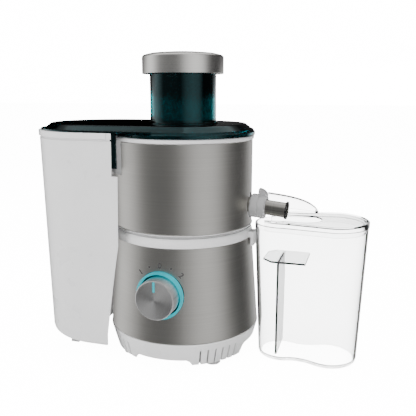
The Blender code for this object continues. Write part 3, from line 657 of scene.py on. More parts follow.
def base_skirt(finish):
    lower_inner = SKIRT_BOTTOM_RADIUS - SKIRT_WALL
    skirt = ring("base_skirt_look", [
        (SKIRT_BOTTOM_RADIUS, FOOT_HEIGHT), (SKIRT_TOP_RADIUS - 0.5, SKIRT_TOP - 3),
        (SKIRT_TOP_RADIUS, SKIRT_TOP - 1.2), (SKIRT_TOP_RADIUS - 0.4, SKIRT_TOP), (24, SKIRT_TOP),
        (24, 27.2), (78.6, 27.2), (lower_inner, FOOT_HEIGHT)], ROUND)
    gland_hole = disc("gland_hole", 5.3, -20, 20, SMALL, cord_frame())
    cut(skirt, vent_cutter(), arch_cutter("arch_front", 0, 31, 11), arch_cutter("arch_back", 180, 31, 11),
        arch_cutter("arch_left", 270, 28, 16), arch_cutter("arch_right", 90, 28, 16), gland_hole)
    for index in range(4):
        x, y = polar(SCREW_CIRCLE, 90 * index)
        weld(skirt, ring("screw_post", [(1.9, 8.4), (4.5, 8.4), (4.5, 28), (1.9, 26)], SMALL,
                         Matrix.Translation((x, y, 0))))
    fitted(rounded(skirt, 0.35, 2), "motor_base", finish, "base_skirt")


def feet(finish):
    for index in range(4):
        x, y = polar(FOOT_CIRCLE, 45 + 90 * index)
        foot = turned("rubber_foot_look_%d" % (index + 1), [
            (0, 0.4), (4.2, 0.4), (4.6, 0), (FOOT_RADIUS - 1, 0), (FOOT_RADIUS - 0.3, 0.3), (FOOT_RADIUS, 1),
            (FOOT_RADIUS, 3.4), (FOOT_RADIUS - 0.4, 3.7), (FOOT_RADIUS - 0.4, FOOT_HEIGHT), (0, FOOT_HEIGHT)],
            SMALL, Matrix.Translation((x, y, 0)))
        fitted(rounded(foot, 0.15, 2), "motor_base", finish, "rubber_foot_%d" % (index + 1))


def base_screws(finish):
    for index in range(4):
        x, y = polar(SCREW_CIRCLE, 90 * index)
        place = Matrix.Translation((x, y, 0))
        screw = turned("base_screw_look_%d" % (index + 1), [
            (0, 2.8), (2.6, 2.8), (3.2, 3.2), (3.4, 5.0), (1.6, 5.0), (1.6, 16), (0, 17)], SMALL, place)
        cut(screw, block("slot_a", (-2, -0.35, 2), (2, 0.35, 4.2), place),
            block("slot_b", (-0.35, -2, 2), (0.35, 2, 4.2), place))
        fitted(rounded(screw, 0.1, 2), "motor_base", finish, "base_screw_%d" % (index + 1))


def cord_gland(finish):
    """Ribbed rubber sleeve at the back, where the cord comes out."""
    end = -KNOB_FACE_Y - (SKIRT_TOP_RADIUS - 3)
    profile = [(3.2, -8), (5.0, -8), (5.0, 4.5), (6.4, 4.5), (6.4, 6.5)]
    for index in range(4):
        base = 6.9 + 1.9 * index
        out = 5.4 - 0.2 * index
        profile += [(out, base), (out, base + 1.0), (4.3, base + 1.2), (4.3, base + 1.7)]
    profile += [(4.5, end), (3.2, end)]
    gland = ring("cord_gland_look", profile, SMALL, cord_frame())
    fitted(rounded(gland, 0.15, 2), "motor_base", finish, "cord_gland")


def lower_shell(finish):
    """Tapered steel casing with rolled edges and the round hole for the dial."""
    shell = ring("lower_shell_look", [
        (SHELL_BOTTOM_RADIUS - 0.5, SHELL_BOTTOM), (SHELL_BOTTOM_RADIUS, SHELL_BOTTOM + 0.7),
        (SHELL_TOP_RADIUS, SHELL_TOP - 0.6), (SHELL_TOP_RADIUS - 0.4, SHELL_TOP),
        (SHELL_TOP_RADIUS - SHEET, SHELL_TOP), (SHELL_BOTTOM_RADIUS - SHEET, SHELL_BOTTOM)], ROUND)
    cut(shell, disc("dial_hole", RING_OUTER + GAP, 60, 95, MEDIUM, front_frame()))
    fitted(rounded(shell, 0.15, 2), "motor_base", finish, "lower_shell")


def motor_deck(finish):
    deck = ring("motor_deck_look", [
        (8.2, 128), (8.2, 133), (10.5, 133), (10.5, 131), (70.5, 131), (70.5, DECK_TOP),
        (73.3, DECK_TOP), (RING_RADIUS - 0.9, 135.2), (RING_RADIUS, 132.6), (RING_RADIUS, 128.8),
        (RING_RADIUS - 0.4, 128), (73, 128), (73, 115), (70.5, 115), (70.5, 128)], ROUND)
    arm = block("catch_arm", (71.5, -8, 128.4), (80, 8, 134))
    drop = block("catch_drop", (76.4, -7, 119), (79.8, 7, 129))
    weld(deck, weld(arm, drop))
    fitted(rounded(deck, 0.5, 3), "motor_base", finish, "motor_deck")


# ---------------------------------------------------------------- collector

def collector_bowl(finish, painted_band_shade):
    """White bowl with its rounded rings, the spout's hole and the pulp chute."""
    bowl = ring("collector_bowl_look", [
        (16, 141.6), (16, 150), (18, 150), (18, BOWL_FLOOR), (BOWL_INNER_RADIUS, BOWL_FLOOR),
        (BOWL_INNER_RADIUS, BOWL_TOP), (TOP_RING_RADIUS - 0.8, BOWL_TOP), (TOP_RING_RADIUS, BOWL_TOP - 0.8),
        (TOP_RING_RADIUS, SLEEVE_TOP + 1), (TOP_RING_RADIUS - 0.6, SLEEVE_TOP + GAP),
        (BOWL_RADIUS, SLEEVE_TOP + GAP), (BOWL_RADIUS, SLEEVE_BOTTOM - GAP),
        (RING_RADIUS - 0.4, SLEEVE_BOTTOM - GAP), (RING_RADIUS, SLEEVE_BOTTOM - 0.5),
        (RING_RADIUS - 0.2, SLEEVE_BOTTOM - 0.8), (RING_RADIUS - 1.5, COLLECTOR_BOTTOM),
        (BOWL_INNER_RADIUS, COLLECTOR_BOTTOM), (BOWL_INNER_RADIUS, 141.6)], ROUND)
    cut(bowl, disc("spout_hole", SPOUT_TUBE_RADIUS + GAP, -12, 8, SMALL, spout_frame()))
    half = CHUTE_HALF_WIDTH
    outer = block("chute_outer", (-90, -CHEEK_HALF_WIDTH, 197.2), (-40, CHEEK_HALF_WIDTH, BOWL_TOP - 3))
    limit = ring("chute_limit", [(71.2, 190), (77.2, 190), (77.2, 240), (71.2, 240)], ROUND)
    boolean(outer, limit, "INTERSECT")
    floor = block("chute_plate", (-92.5, -half + 1.2, CHUTE_FLOOR), (-70.6, half - 1.2, CHUTE_FLOOR + 2))
    lip = ring("chute_lip", [(85.2, 189), (87.6, 189), (87.6, 199.8), (80.5, 199.8)], ROUND)
    boolean(lip, block("chute_lip_sector", (-99, -half + 1.2, 180), (-40, half - 1.2, 210)), "INTERSECT")
    weld(bowl, outer, floor, lip)
    cut(bowl, block("chute_passage", (-99, -half + 1.2, CHUTE_FLOOR + 2), (-40, half - 1.2, SLEEVE_TOP)))
    fitted(rounded(bowl, 0.3, 2), "motor_base", finish, "collector_bowl")
    # Painted shade: the leaning band under the lower ring is painted grey
    repaint(bowl, painted_band_shade, on_lower_ring)


def on_lower_ring(face):
    """Whether a face of the bowl is on the leaning band under its lower ring, which is painted grey as shade.
    """
    height = face.center.z / MM
    out = math.hypot(face.center.x / MM - AXIS_X, face.center.y / MM)
    return COLLECTOR_BOTTOM < height < SLEEVE_BOTTOM - 0.9 and out > RING_RADIUS - 2


def collector_sleeve(finish):
    sleeve = ring("collector_sleeve_look", [
        (BOWL_RADIUS + 0.4, SLEEVE_BOTTOM), (SLEEVE_RADIUS - 0.4, SLEEVE_BOTTOM),
        (SLEEVE_RADIUS, SLEEVE_BOTTOM + 0.6), (SLEEVE_RADIUS, SLEEVE_TOP - 0.6),
        (SLEEVE_RADIUS - 0.4, SLEEVE_TOP), (BOWL_RADIUS + 0.4, SLEEVE_TOP)], ROUND)
    side = CHEEK_HALF_WIDTH + GAP
    cut(sleeve, block("sleeve_opening", (-90, -side, 196.6), (-40, side, 240)),
        disc("sleeve_hole", COLLAR_RADIUS + 0.6, -12, 30, SMALL, spout_frame()))
    fitted(rounded(sleeve, 0.12, 2), "motor_base", finish, "collector_sleeve")


# ---------------------------------------------------------------- spout

def spout_pieces(steel, rubber, grey, clear):
    """Steel tube, its black end seal, the grey collar with its lever, and the clear hood."""
    place = spout_frame()
    tube = ring("spout_tube_look", [
        (6.9, -3.2), (SPOUT_TUBE_RADIUS, -3.2), (SPOUT_TUBE_RADIUS, SPOUT_TUBE_LENGTH - 0.4),
        (SPOUT_TUBE_RADIUS - 0.3, SPOUT_TUBE_LENGTH), (6.9, SPOUT_TUBE_LENGTH)], MEDIUM, place)
    fitted(rounded(tube, 0.1, 2), "motor_base", steel, "spout_tube")
    seal = ring("spout_seal_look", [
        (8.3, 39), (9.0, 39), (9.4, 39.5), (9.4, 40.9), (9.0, 41.4), (8.3, 41.4)], MEDIUM, place)
    fitted(rounded(seal, 0.1, 2), "motor_base", rubber, "spout_seal")
    collar = fitted(rounded(valve_collar(place), 0.35, 3), "spout_valve", grey, "valve_collar")
    hood = fitted(rounded(nozzle_hood(place), 0.2, 2), "spout_valve", clear, "nozzle_hood")
    collar.visible_glossy = False
    hood.visible_glossy = False


def valve_collar(place):
    """A stepped collar whose thumb lever curls up and over from its rim."""
    collar = ring("valve_collar_look", [
        (8.4, COLLAR_START), (11.4, COLLAR_START), (12.2, COLLAR_START + 0.8), (COLLAR_RADIUS, 4),
        (COLLAR_RADIUS, 9.5), (12.1, 10), (12.1, 10.8), (COLLAR_RADIUS, 11.3),
        (COLLAR_RADIUS, COLLAR_END - 1.2), (11.6, COLLAR_END), (8.4, COLLAR_END)], MEDIUM, place)
    curl = [(11.2, 9.0), (19.0, 9.0), (18.6, 12.0), (17.2, 15.2), (15.0, 17.6), (13.0, COLLAR_END),
            (11.2, COLLAR_END)]
    upright = place @ Matrix.Rotation(-math.pi / 2, 4, "X")
    lever = prism("lever", [(x, -s) for x, s in curl], -4.5, 4.5, upright)
    return weld(collar, lever)


def hood_section(along, scale, sunk):
    """Half an ellipse over the spout, as points in the spout's frame; scale shrinks it inward."""
    share = max(0.0, min(1.0, (along - COLLAR_END) / (HOOD_LENGTH - COLLAR_END)))
    height = HOOD_HEIGHT * math.sqrt(max(0.0, 1 - share ** 3.4)) - scale
    half = HOOD_HALF_WIDTH * math.sqrt(max(0.0, 1 - share ** 3.0)) - scale
    rise = 3.2 * share ** 2
    height = max(height, rise + 0.4)
    half = max(half, 0.4)
    arch = [(rise + (height - rise) * math.sin(a), half * math.cos(a), along) for a in arc(0, 180, 40)]
    return [(rise - sunk, half, along)] + arch + [(rise - sunk, -half, along)]


def nozzle_hood(place):
    """Clear half-round cover that carries the juice from the spout into the jug."""
    places = [COLLAR_END + GAP, 26, 36, 44, 50, 55, 59, 62.5, 65.5, 68, 70, 71.5, 72.6]
    outer = [[place @ Vector(p) for p in hood_section(s, 0.0, 0.0)] for s in places]
    hollow = [COLLAR_END - 3, 26, 36, 44, 50, 55, 59, 62.5, 65.5, 67.5, 69.5]
    inner = [[place @ Vector(p) for p in hood_section(s, 1.4, 3.0)] for s in hollow]
    return cut(loft("nozzle_hood_look", outer), loft("hood_cavity", inner))


# ---------------------------------------------------------------- knob and dial

def dial(black, lit, aluminium, stem):
    place = front_frame()
    face = -RING_FACE_Y
    plate = ring("dial_plate_look", [(3.4, 69), (24.4, 69), (24.4, 75), (3.4, 75)], MEDIUM, place)
    fitted(rounded(plate, 0.2, 2), "motor_base", black, "dial_plate")
    band = ring("led_ring_look", [
        (RING_INNER, 75.3), (RING_OUTER, 75.3), (RING_OUTER, face - 0.8), (RING_OUTER - 0.3, face - 0.3),
        (RING_OUTER - 0.8, face), (RING_INNER, face)], MEDIUM, place)
    fitted(rounded(band, 0.15, 2), "motor_base", lit, "led_ring")
    front = -KNOB_FACE_Y - 0.5
    knob = turned("knob_body_look", [
        (0, 76.2), (KNOB_RADIUS - 0.4, 76.2), (KNOB_RADIUS, 76.6), (KNOB_RADIUS, front - 1.3),
        (KNOB_RADIUS - 0.3, front - 0.8), (KNOB_RADIUS - 0.9, front - 0.15), (KNOB_RADIUS - 1.4, front),
        (0, front)], MEDIUM, place)
    slot = block("pointer_slot", (-1.2, KNOB_FACE_Y - 2, KNOB_Z + 8.7),
                 (1.2, KNOB_FACE_Y + 1.6, KNOB_Z + 19.3))
    cut(knob, slot, disc("stem_socket", 3.3, 70, 84, SMALL, place))
    fitted(rounded(knob, 0.15, 2), "knob", aluminium, "knob_body")
    pointer = block("knob_pointer_look", (-0.9, KNOB_FACE_Y, KNOB_Z + 9),
                    (0.9, KNOB_FACE_Y + 1.3, KNOB_Z + 19))
    fitted(rounded(pointer, 0.3, 3), "knob", lit, "knob_pointer")
    pin = disc("knob_stem_look", 3.0, 67.3, 83.5, SMALL, place)
    fitted(rounded(pin, 0.3, 2), "knob", stem, "knob_stem")


def on_shell(x, z, lift=0.08):
    """The point of the steel shell's front that lies behind (x, z), a hair proud of it."""
    radius = shell_radius(z) + lift
    return Vector((x, -math.sqrt(radius ** 2 - x ** 2), z))


def dial_numbers(finish):
    """Numbers 1, 0 and 2 printed on the shell, each turned to face away from the knob."""
    for text, bearing in (("1", -45), ("0", 0), ("2", 45)):
        curve = bpy.data.curves.new("dial_number_" + text, "FONT")
        curve.body = text
        curve.size = MARK_HEIGHT * 1.35
        curve.align_x = "CENTER"
        curve.align_y = "CENTER"
        curve.resolution_u = 6
        curve.offset = 0.16
        source = bpy.data.objects.new("dial_number_" + text, curve)
        flat = bpy.data.meshes.new_from_object(source)
        bpy.data.objects.remove(source, do_unlink=True)
        printed(flat, "dial_number_" + text, bearing, finish)


def dial_dots(finish):
    """Round dots between the numbers."""
    for index, bearing in enumerate((-22.5, 22.5)):
        bm = bmesh.new()
        bmesh.ops.create_circle(bm, cap_ends=True, segments=24, radius=0.85)
        flat = bpy.data.meshes.new("dial_dot_%d" % (index + 1))
        bm.to_mesh(flat)
        bm.free()
        printed(flat, flat.name, bearing, finish)


def printed(flat, name, bearing, finish):
    """Lay a flat mark drawn in millimetres on the curved shell."""
    angle = math.radians(bearing)
    centre_x = MARK_RADIUS * math.sin(angle)
    centre_z = KNOB_Z + MARK_RADIUS * math.cos(angle)
    for vert in flat.vertices:
        x = centre_x + vert.co.x * math.cos(angle) + vert.co.y * math.sin(angle)
        z = centre_z - vert.co.x * math.sin(angle) + vert.co.y * math.cos(angle)
        vert.co = (on_shell(x, z) + Vector((AXIS_X, 0, 0))) * MM
    mark = bpy.data.objects.new(name, flat)
    bpy.context.scene.collection.objects.link(mark)
    fitted(mark, "motor_base", finish)


# ---------------------------------------------------------------- lid and pusher

def stadium(body_radius, end_radius, z, steps=60):
    """Outline round the shaft on one side and round the bin's end on the other."""
    right = [(body_radius * math.sin(a), -body_radius * math.cos(a), z) for a in arc(0, 180, steps)]
    left = [(LID_END_X - end_radius * math.sin(a), end_radius * math.cos(a), z) for a in arc(0, 180, steps)]
    return right + left


def lid_cover(finish, edge_glow):
    """Smoked lid over bowl and bin, with its feed tube, locating rim and chute hood."""
    cover = loft("lid_cover_look", [
        stadium(74.5, 73.5, 240.6), stadium(LID_TOP_RADIUS + 1.5, 67.0, LID_TOP - 1.5),
        stadium(LID_TOP_RADIUS + 0.6, 66.2, LID_TOP - 0.7),
        stadium(LID_TOP_RADIUS - 0.8, 64.8, LID_TOP - 0.1), stadium(LID_TOP_RADIUS - 2.5, 63.0, LID_TOP)])
    bin_flange = loft("bin_flange", [stadium(FLANGE_RADIUS - 0.2, 76.0, 240.4),
                                     stadium(FLANGE_RADIUS - 0.2, 76.0, 241.8)])
    body = turned("lid_body", [
        (0, 230.2), (70.1, 230.2), (70.1, LID_BOTTOM), (FLANGE_RADIUS, LID_BOTTOM), (FLANGE_RADIUS, 238.6),
        (75.2, 239.8), (74.6, 241.2), (0, 241.2)], ROUND)
    start = CHEEK_HALF_WIDTH + GAP
    hoods = [block("chute_hood", (-88, low, 203), (-52, low + 2, 245.8)) for low in (-start - 2, start)]
    cut(bin_flange, block("flange_end", (-8, -90, 230), (90, 90, 250)))
    weld(cover, bin_flange, body)
    bin_room = loft("bin_room", [stadium(71.5, 71, 236), stadium(71.5, 70.8, 240.6),
                                 stadium(LID_TOP_RADIUS - 1, 64.5, LID_TOP - 2.4)])
    chute_gap = block("chute_gap", (-120, -CHUTE_HALF_WIDTH - 1.8, 200), (-40, CHUTE_HALF_WIDTH + 1.8, 240))
    bowl_room = disc("bowl_room", 68.0, 220, 241, ROUND, turn_to(180.0 / ROUND))
    cut(cover, bin_room, bowl_room, chute_gap)
    tube = disc("feed_tube", TUBE_RADIUS, TUBE_BOTTOM, TUBE_TOP, MEDIUM)
    foot = turned("tube_foot", [(0, 245), (TUBE_RADIUS + 2.2, 245), (TUBE_RADIUS + 2.2, 247.6),
                                (TUBE_RADIUS + 0.7, 248.4), (TUBE_RADIUS, 250.5), (0, 250.5)], MEDIUM)
    weld(cover, tube, foot, *hoods)
    cut(cover, disc("tube_bore", TUBE_RADIUS - TUBE_WALL, TUBE_BOTTOM - 5, TUBE_TOP + 5, MEDIUM))
    # The rounded edges get the second material, a painted cyan edge glow
    rounded(cover, 0.45, 2).modifiers["edges"].material = 1
    fitted(cover, "lid", finish, "lid_cover")
    cover.data.materials.append(edge_glow)


def pusher(black, steel):
    body = ring("pusher_body_look", [
        (3.0, 178), (31, 178), (31.9, 180), (31.9, CAP_BOTTOM + 0.2), (41.3, CAP_BOTTOM + 0.2),
        (41.3, 304), (29.4, 304), (29.4, 180.6), (3.0, 180.6)], MEDIUM)
    weld(body, disc("pusher_floor", 4.0, 178, 180.6, SMALL))
    fitted(rounded(body, 0.3, 2), "pusher", black, "pusher_body")
    cap = turned("pusher_cap_look", [
        (0, 304.3), (41.6, 304.3), (41.6, CAP_BOTTOM), (CAP_RADIUS - 0.4, CAP_BOTTOM),
        (CAP_RADIUS, CAP_BOTTOM + 0.6), (CAP_RADIUS, 314.4), (CAP_RADIUS - 0.4, 315.5),
        (CAP_RADIUS - 1.4, 316.5), (CAP_RADIUS - 3.2, 317.2), (34, 318.5), (20, 319.7), (0, CAP_TOP)], ROUND)
    fitted(rounded(cap, 0.2, 3), "pusher", steel, "pusher_cap")


# ---------------------------------------------------------------- pulp bin

def bin_outline(radius, z, near_x=-30.0, steps=64):
    """D-shaped plan: straight sides that run to the machine and a round far end."""
    loop = [(near_x, -radius, z)]
    loop += [(BIN_END_X - radius * math.sin(a), -radius * math.cos(a), z) for a in arc(0, 180, steps)]
    loop.append((near_x, radius, z))
    return loop


def bin_radius(z):
    share = (z - BIN_BOTTOM) / (BIN_TOP - BIN_BOTTOM)
    return BIN_BOTTOM_RADIUS + (BIN_TOP_RADIUS - BIN_BOTTOM_RADIUS) * share


def saddle(name, radius):
    """The space round the machine that the bin leaves free, wider below where the casing widens."""
    spread = SHELL_BOTTOM_RADIUS - SHELL_TOP_RADIUS
    return turned(name, [(0, 0), (radius + spread, 0), (radius + spread, SHELL_BOTTOM),
                         (radius, SHELL_TOP), (radius, 260), (0, 260)], ROUND)


def groove_cutter(side):
    """A long round-topped bar that bites a shallow finger groove into one side of the bin."""
    dome = [(0, 0)]
    dome += [(GROOVE_RADIUS * math.sin(a), -GROOVE_RADIUS * (1 - math.cos(a))) for a in arc(2, 90, 30)]
    dome += [(GROOVE_RADIUS, -230), (0, -230)]
    half_chord = math.sqrt(GROOVE_RADIUS ** 2 - (GROOVE_RADIUS - GROOVE_DEPTH) ** 2)
    top_z = GROOVE_TOP - half_chord + GROOVE_RADIUS
    out = bin_radius(GROOVE_TOP - half_chord) + GROOVE_RADIUS - GROOVE_DEPTH
    lean = Matrix.Rotation(side * math.radians(0.75), 4, "X")
    place = Matrix.Translation((GROOVE_X, side * out, top_z)) @ lean
    return turned("groove", dome, 240, place)


def pulp_bin(finish, foot_finish):
    """Tapered bin with a rim band, a finger groove in each side and a toe underneath."""
    band = BIN_TOP - BIN_RIM_HEIGHT
    shell = loft("pulp_bin_look", [
        bin_outline(BIN_BOTTOM_RADIUS - 3, BIN_BOTTOM),
        bin_outline(BIN_BOTTOM_RADIUS - 1.5, BIN_BOTTOM + 0.5),
        bin_outline(BIN_BOTTOM_RADIUS - 0.5, BIN_BOTTOM + 1.6),
        bin_outline(BIN_BOTTOM_RADIUS + 0.1, BIN_BOTTOM + 4),
        bin_outline(bin_radius(band - 1.8), band - 1.8),
        bin_outline(BIN_TOP_RADIUS - 1.3, band - 1.4),
        bin_outline(BIN_TOP_RADIUS - 1.3, band),
        bin_outline(BIN_RIM_RADIUS, band + 0.4), bin_outline(BIN_RIM_RADIUS, BIN_TOP)])
    for side in (-1, 1):
        low_y, high_y = sorted((side * (BIN_TOP_RADIUS - 0.1), side * (BIN_RIM_RADIUS + 2)))
        cut(shell, block("band_end", (RIM_BAND_END_X, low_y, band - 0.3), (-20, high_y, BIN_TOP + 1)))
    room = loft("bin_room_cutter", [
        bin_outline(BIN_BOTTOM_RADIUS - BIN_WALL - 2, BIN_BOTTOM + 2.6),
        bin_outline(BIN_BOTTOM_RADIUS - BIN_WALL, BIN_BOTTOM + 6),
        bin_outline(bin_radius(BIN_TOP) - BIN_WALL, BIN_TOP + 4)])
    cut(room, saddle("saddle_inner", BIN_SADDLE_RADIUS + 2.2))
    cut(shell, saddle("saddle_outer", BIN_SADDLE_RADIUS), room)
    cut(shell, disc("bin_mouth", 92.2, BIN_SADDLE_TOP, 260, ROUND))
    cut(shell, groove_cutter(-1), groove_cutter(1))
    weld(shell, block("bin_toe", (-108, -68, 12.5), (-99, 68, 17)))
    fitted(rounded(shell, 0.35, 3), "bin", finish, "pulp_bin").visible_glossy = False
    repaint(shell, foot_finish, lambda face: face.center.z < (BIN_BOTTOM - 0.1) * MM)


# ---------------------------------------------------------------- jug

def lobed(lobes, z, inset=0.0, waist=None, steps=30):
    """Outline round two lobes on the X axis; a waist draws the sides in between them."""
    (left_x, left_r), (right_x, right_r) = lobes
    left_r -= inset
    right_r -= inset
    lean = math.degrees(math.asin((right_r - left_r) / (right_x - left_x)))
    near = []
    for a in arc(180, 270 + (lean if waist is None else 24), steps):
        near.append((left_x + left_r * math.cos(a), left_r * math.sin(a)))
    if waist is None:
        first = 270 + lean
    else:
        first = 246
    right = [(right_x + right_r * math.cos(a), right_r * math.sin(a)) for a in arc(first, 360, steps)]
    if waist is None:
        middle = ((near[-1][0] + right[0][0]) / 2, (near[-1][1] + right[0][1]) / 2)
    else:
        middle = (waist[0], -(waist[1] - inset))
    near += eased(near[-1], middle, right[0]) + right
    far = [(x, -y) for x, y in reversed(near[1:-1])]
    return [(x, y, z) for x, y in near + far]


def eased(start, middle, end, steps=14):
    """Points of a smooth curve from start through middle to end, without the two ends."""
    control = [2 * m - (s + e) / 2 for s, m, e in zip(start, middle, end)]
    points = []
    for i in range(1, steps):
        t = i / steps
        points.append(tuple((1 - t) ** 2 * s + 2 * t * (1 - t) * c + t * t * e
                            for s, c, e in zip(start, control, end)))
    return points


def juice_jug(finish):
    waist = (135.0, 22.6)
    mid_lobes = [((a[0] + b[0]) / 2, (a[1] + b[1]) / 2) for a, b in zip(JUG_BOTTOM_LOBES, JUG_TOP_LOBES)]
    loops = [
        lobed(JUG_BOTTOM_LOBES, 0.0, 3.0, waist), lobed(JUG_BOTTOM_LOBES, 0.3, 1.7, waist),
        lobed(JUG_BOTTOM_LOBES, 1.2, 0.7, waist), lobed(JUG_BOTTOM_LOBES, 3.5, 0.0, waist),
        lobed(mid_lobes, JUG_RIM / 2, 0.0, (135, 26.5)),
        lobed(JUG_TOP_LOBES, JUG_RIM - 3), lobed(JUG_TOP_LOBES, JUG_RIM),
        lobed(JUG_TOP_LOBES, JUG_RIM, JUG_WALL),
        lobed(mid_lobes, JUG_RIM / 2, JUG_WALL, (135, 26.5)), lobed(JUG_BOTTOM_LOBES, 4.5, JUG_WALL, waist),
        lobed(JUG_BOTTOM_LOBES, 2.8, JUG_WALL + 1.5, waist)]
    fitted(rounded(loft("juice_jug_look", loops), 0.3, 3), "jug", finish, "juice_jug").visible_glossy = False


def foam_separator(tinted, dark):
    """Upright plate across the jug with a flat top; its edges are painted dark as shade, where clear plastic
    edges look dark.
    """
    plate = block("foam_separator_look", (107.8, -21.2, 6.0), (110, 21.2, 108))
    outline = [(92, -12), (102, -22), (137, -22), (137, 20), (131, 22), (101, 22), (92, 13)]
    tab = prism("separator_tab", outline, 106.6, 108.8)
    weld(plate, tab)
    fitted(rounded(plate, 0.1, 1), "jug", tinted, "foam_separator").visible_glossy = False
    # Painted shade: the narrow edge faces get the dark material
    repaint(plate, dark, lambda face: face.normal.y < 0.2 and abs(face.normal.z) < 0.3 and face.area < NARROW)


def jug_lid(finish):
    lobes = (JUG_TOP_LOBES[0], (JUG_TOP_LOBES[1][0], JUG_LID_RADIUS_RIGHT))
    under = JUG_RIM + GAP
    loops = [
        lobed(lobes, JUG_LID_TOP - 1.2, 3.6), lobed(lobes, JUG_LID_TOP - 1.2, 2.4),
        lobed(lobes, JUG_LID_TOP, 1.2), lobed(lobes, JUG_LID_TOP - 0.8, 0.0), lobed(lobes, under, 0.0),
        lobed(lobes, under, JUG_WALL + 1.3), lobed(lobes, JUG_RIM - 5, JUG_WALL + 1.5),
        lobed(lobes, JUG_RIM - 5, JUG_WALL + 2.9), lobed(lobes, JUG_LID_TOP - 2.8, JUG_WALL + 2.9)]
    lid = loft("jug_lid_look", loops)
    slot = block("notch_slot", (60, -NOTCH_HALF_WIDTH, 130), (132, NOTCH_HALF_WIDTH, 160))
    end = disc("notch_end", NOTCH_HALF_WIDTH, 130, 160, MEDIUM, Matrix.Translation((132, 0, 0)))
    left = block("notch_left", (60, -50, 130), (94, 50, 160))
    cut(lid, weld(slot, end, left))
    fitted(rounded(lid, 0.2, 2), "jug_cover", finish, "jug_lid").visible_glossy = False


# ---------------------------------------------------------------- CAD pieces that keep their shape

def carried(nodes, finish, *names):
    """Give CAD nodes that stay as they are their look."""
    for name in names:
        mesh = nodes[name].data
        mesh.materials.clear()
        mesh.materials.append(finish)


def inner_parts(nodes, finishes):
    bushes = ["motor_bush_%d" % (i + 1) for i in range(4)]
    carried(nodes, finishes["grey"], "bottom_plate", "motor_carrier", "cooling_fan")
    carried(nodes, finishes["rubber"], "shaft_seal", *bushes)
    carried(nodes, finishes["black"], "brush_holder_1", "brush_holder_2", "rotary_switch", "interlock_switch",
            "drive_coupling")
    carried(nodes, finishes["lamination"], "stator_core", "armature_core", "bearing_bridge")
    carried(nodes, finishes["copper"], "field_coil_1", "field_coil_2", "commutator")
    carried(nodes, finishes["carbon"], "carbon_brush_1", "carbon_brush_2")
    carried(nodes, finishes["board"], "control_board")
    carried(nodes, finishes["turned"], "bearing_lower", "bearing_upper", "motor_shaft", "grater_disc")
    carried(nodes, finishes["sieve"], "filter_cone")
    carried(nodes, finishes["white"], "basket_base", "basket_rim")


# ---------------------------------------------------------------- studio

def floor():
    """Wide pale floor that shiny pieces don't mirror, as bright behind clear pieces as beside them."""
    bm = bmesh.new()
    bmesh.ops.create_grid(bm, x_segments=1, y_segments=1, size=12.0)
    mesh = bpy.data.meshes.new("floor")
    bm.to_mesh(mesh)
    bm.free()
    plane = bpy.data.objects.new("floor", mesh)
    bpy.context.scene.collection.objects.link(plane)
    plane.visible_glossy = False
    made, tree, shader = shaded("floor_paint")
    pale = tones(tree, noise(tree, 3.0), (0.93, 0.93, 0.93), (0.95, 0.95, 0.95))
    feed(shader, "Base Color", pale)
    feed(shader, "Emission Color", pale)
    path = tree.nodes.new("ShaderNodeLightPath")
    through = calculate(tree, "MULTIPLY", path.outputs["Is Transmission Ray"], FLOOR_THROUGH_CLEAR)
    shown = calculate(tree, "MULTIPLY_ADD", path.outputs["Is Camera Ray"], FLOOR_GLOW, through)
    feed(shader, "Emission Strength", shown)
    shader.inputs["Roughness"].default_value = 0.9
    mesh.materials.append(made)


def sky():
    """White backdrop for the camera; for shiny pieces, soft light broken by dark upright screens."""
    world = bpy.data.worlds.new("studio")
    bpy.context.scene.world = world
    world.use_nodes = True
    tree = world.node_tree
    tree.nodes.clear()
    coords = tree.nodes.new("ShaderNodeTexCoord")
    split = tree.nodes.new("ShaderNodeSeparateXYZ")
    tree.links.new(coords.outputs["Generated"], split.inputs["Vector"])
    front = calculate(tree, "MULTIPLY", split.outputs["Y"], -1.0)
    bearing = calculate(tree, "ARCTAN2", split.outputs["X"], front)
    share = calculate(tree, "FRACT", calculate(tree, "MULTIPLY_ADD", bearing, 1 / (2 * math.pi),
                                               0.5 - CAMERA_AZIMUTH / (2 * math.pi)))
    screens = stepped(tree, share, [((degrees + 180) / 360, light) for degrees, light in SCREENS])
    behind = stepped(tree, share, BACK_SCREEN)
    raised = stepped(tree, split.outputs["Z"], BACK_SCREEN_HEIGHT)
    hidden = calculate(tree, "MULTIPLY", behind, raised)
    kept = calculate(tree, "MULTIPLY_ADD", hidden, -0.97, 1.0)
    walls = calculate(tree, "MULTIPLY", screens, kept)
    ceiling = stepped(tree, split.outputs["Z"], CEILING)
    light = calculate(tree, "MAXIMUM", walls, ceiling)
    path = tree.nodes.new("ShaderNodeLightPath")
    opaque = calculate(tree, "MULTIPLY_ADD", path.outputs["Is Transmission Ray"], -0.96, 1.0)
    dimmed = calculate(tree, "MULTIPLY", light, opaque)
    shown = calculate(tree, "MULTIPLY_ADD", path.outputs["Is Camera Ray"], BACKDROP_GLOW, dimmed)
    background = tree.nodes.new("ShaderNodeBackground")
    output = tree.nodes.new("ShaderNodeOutputWorld")
    tree.links.new(calculate(tree, "MULTIPLY", shown, SKY_STRENGTH), background.inputs["Strength"])
    tree.links.new(background.outputs["Background"], output.inputs["Surface"])
    background.inputs["Color"].default_value = (1.0, 1.0, 1.0, 1.0)


def stepped(tree, factor, stops):
    """A grey level that follows a list of (position, level) stops."""
    node = tree.nodes.new("ShaderNodeValToRGB")
    elements = node.color_ramp.elements
    while len(elements) < len(stops):
        elements.new(0.5)
    for element, (position, level) in zip(elements, stops):
        element.position = position
        element.color = (level, level, level, 1.0)
    tree.links.new(factor, node.inputs["Fac"])
    return node.outputs["Color"]


def calculate(tree, operation, *values):
    node = tree.nodes.new("ShaderNodeMath")
    node.operation = operation
    for socket, value in zip(node.inputs, values):
        if isinstance(value, float):
            socket.default_value = value
        else:
            tree.links.new(value, socket)
    return node.outputs["Value"]


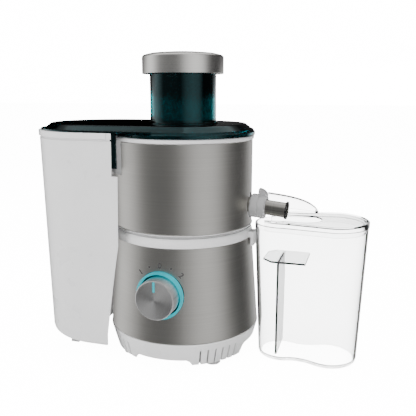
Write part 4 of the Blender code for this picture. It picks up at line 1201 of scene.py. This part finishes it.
def area_light(name, place, target, size, power):
    """A soft square lamp that shiny pieces don't mirror."""
    data = bpy.data.lights.new(name, "AREA")
    data.shape = "SQUARE"
    data.size = size
    data.energy = power
    lamp = bpy.data.objects.new(name, data)
    lamp.location = place
    lamp.rotation_euler = (Vector(target) - Vector(place)).to_track_quat("-Z", "Y").to_euler()
    lamp.visible_glossy = False
    bpy.context.scene.collection.objects.link(lamp)


def lights():
    area_light("top_light", (0.0, 0.1, 1.5), (0.0, 0.0, 0.1), 1.2, 26.0)
    area_light("front_light", (-0.5, -1.5, 0.9), (0.0, 0.0, 0.12), 1.2, 24.0)


def camera():
    data = bpy.data.cameras.new("camera")
    data.lens = CAMERA_LENS
    data.sensor_width = 36.0
    made = bpy.data.objects.new("camera", data)
    made.location = CAMERA_PLACE
    made.rotation_euler = Vector(CAMERA_LOOK).to_track_quat("-Z", "Y").to_euler()
    bpy.context.scene.collection.objects.link(made)
    bpy.context.scene.camera = made


def main():
    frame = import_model()
    finishes = {
        "white": white_plastic(), "grey": grey_plastic(), "black": black_plastic(), "rubber": black_rubber(),
        "lamination": laminations(), "copper": copper(), "carbon": carbon(), "board": circuit_board(),
        "turned": turned_steel(), "sieve": sieve_steel()}
    steel = brushed_steel()
    clear = clear_plastic("clear_plastic", (0.965, 0.97, 0.97), (0.985, 0.985, 0.985), 1.45, 26.0)
    thin_clear = clear_plastic("thin_clear_plastic", (0.95, 0.955, 0.955), (0.97, 0.97, 0.97), 1.12, 8.0)
    tinted_clear = clear_plastic("tinted_clear_plastic", (0.95, 0.95, 0.95), (0.97, 0.97, 0.97), 1.3, 90.0)
    inner_parts(frame["nodes"], finishes)
    base_skirt(finishes["white"])
    feet(grey_rubber())
    base_screws(finishes["turned"])
    cord_gland(finishes["rubber"])
    lower_shell(steel)
    motor_deck(finishes["white"])
    collector_bowl(finishes["white"], finishes["grey"])
    collector_sleeve(steel)
    spout_pieces(spout_steel(), finishes["rubber"], finishes["grey"], thin_clear)
    dial(finishes["black"], lit_plastic(), spun_aluminium(), finishes["black"])
    print_ink = ink()
    dial_numbers(print_ink)
    dial_dots(print_ink)
    lid_cover(smoked_plastic(), smoked_edge_glow())
    pusher(matt_black_plastic(), cap_steel())
    pulp_bin(finishes["white"], finishes["grey"])
    juice_jug(clear)
    foam_separator(tinted_clear, finishes["black"])
    jug_lid(clear)
    floor()
    sky()
    lights()
    camera()


main()
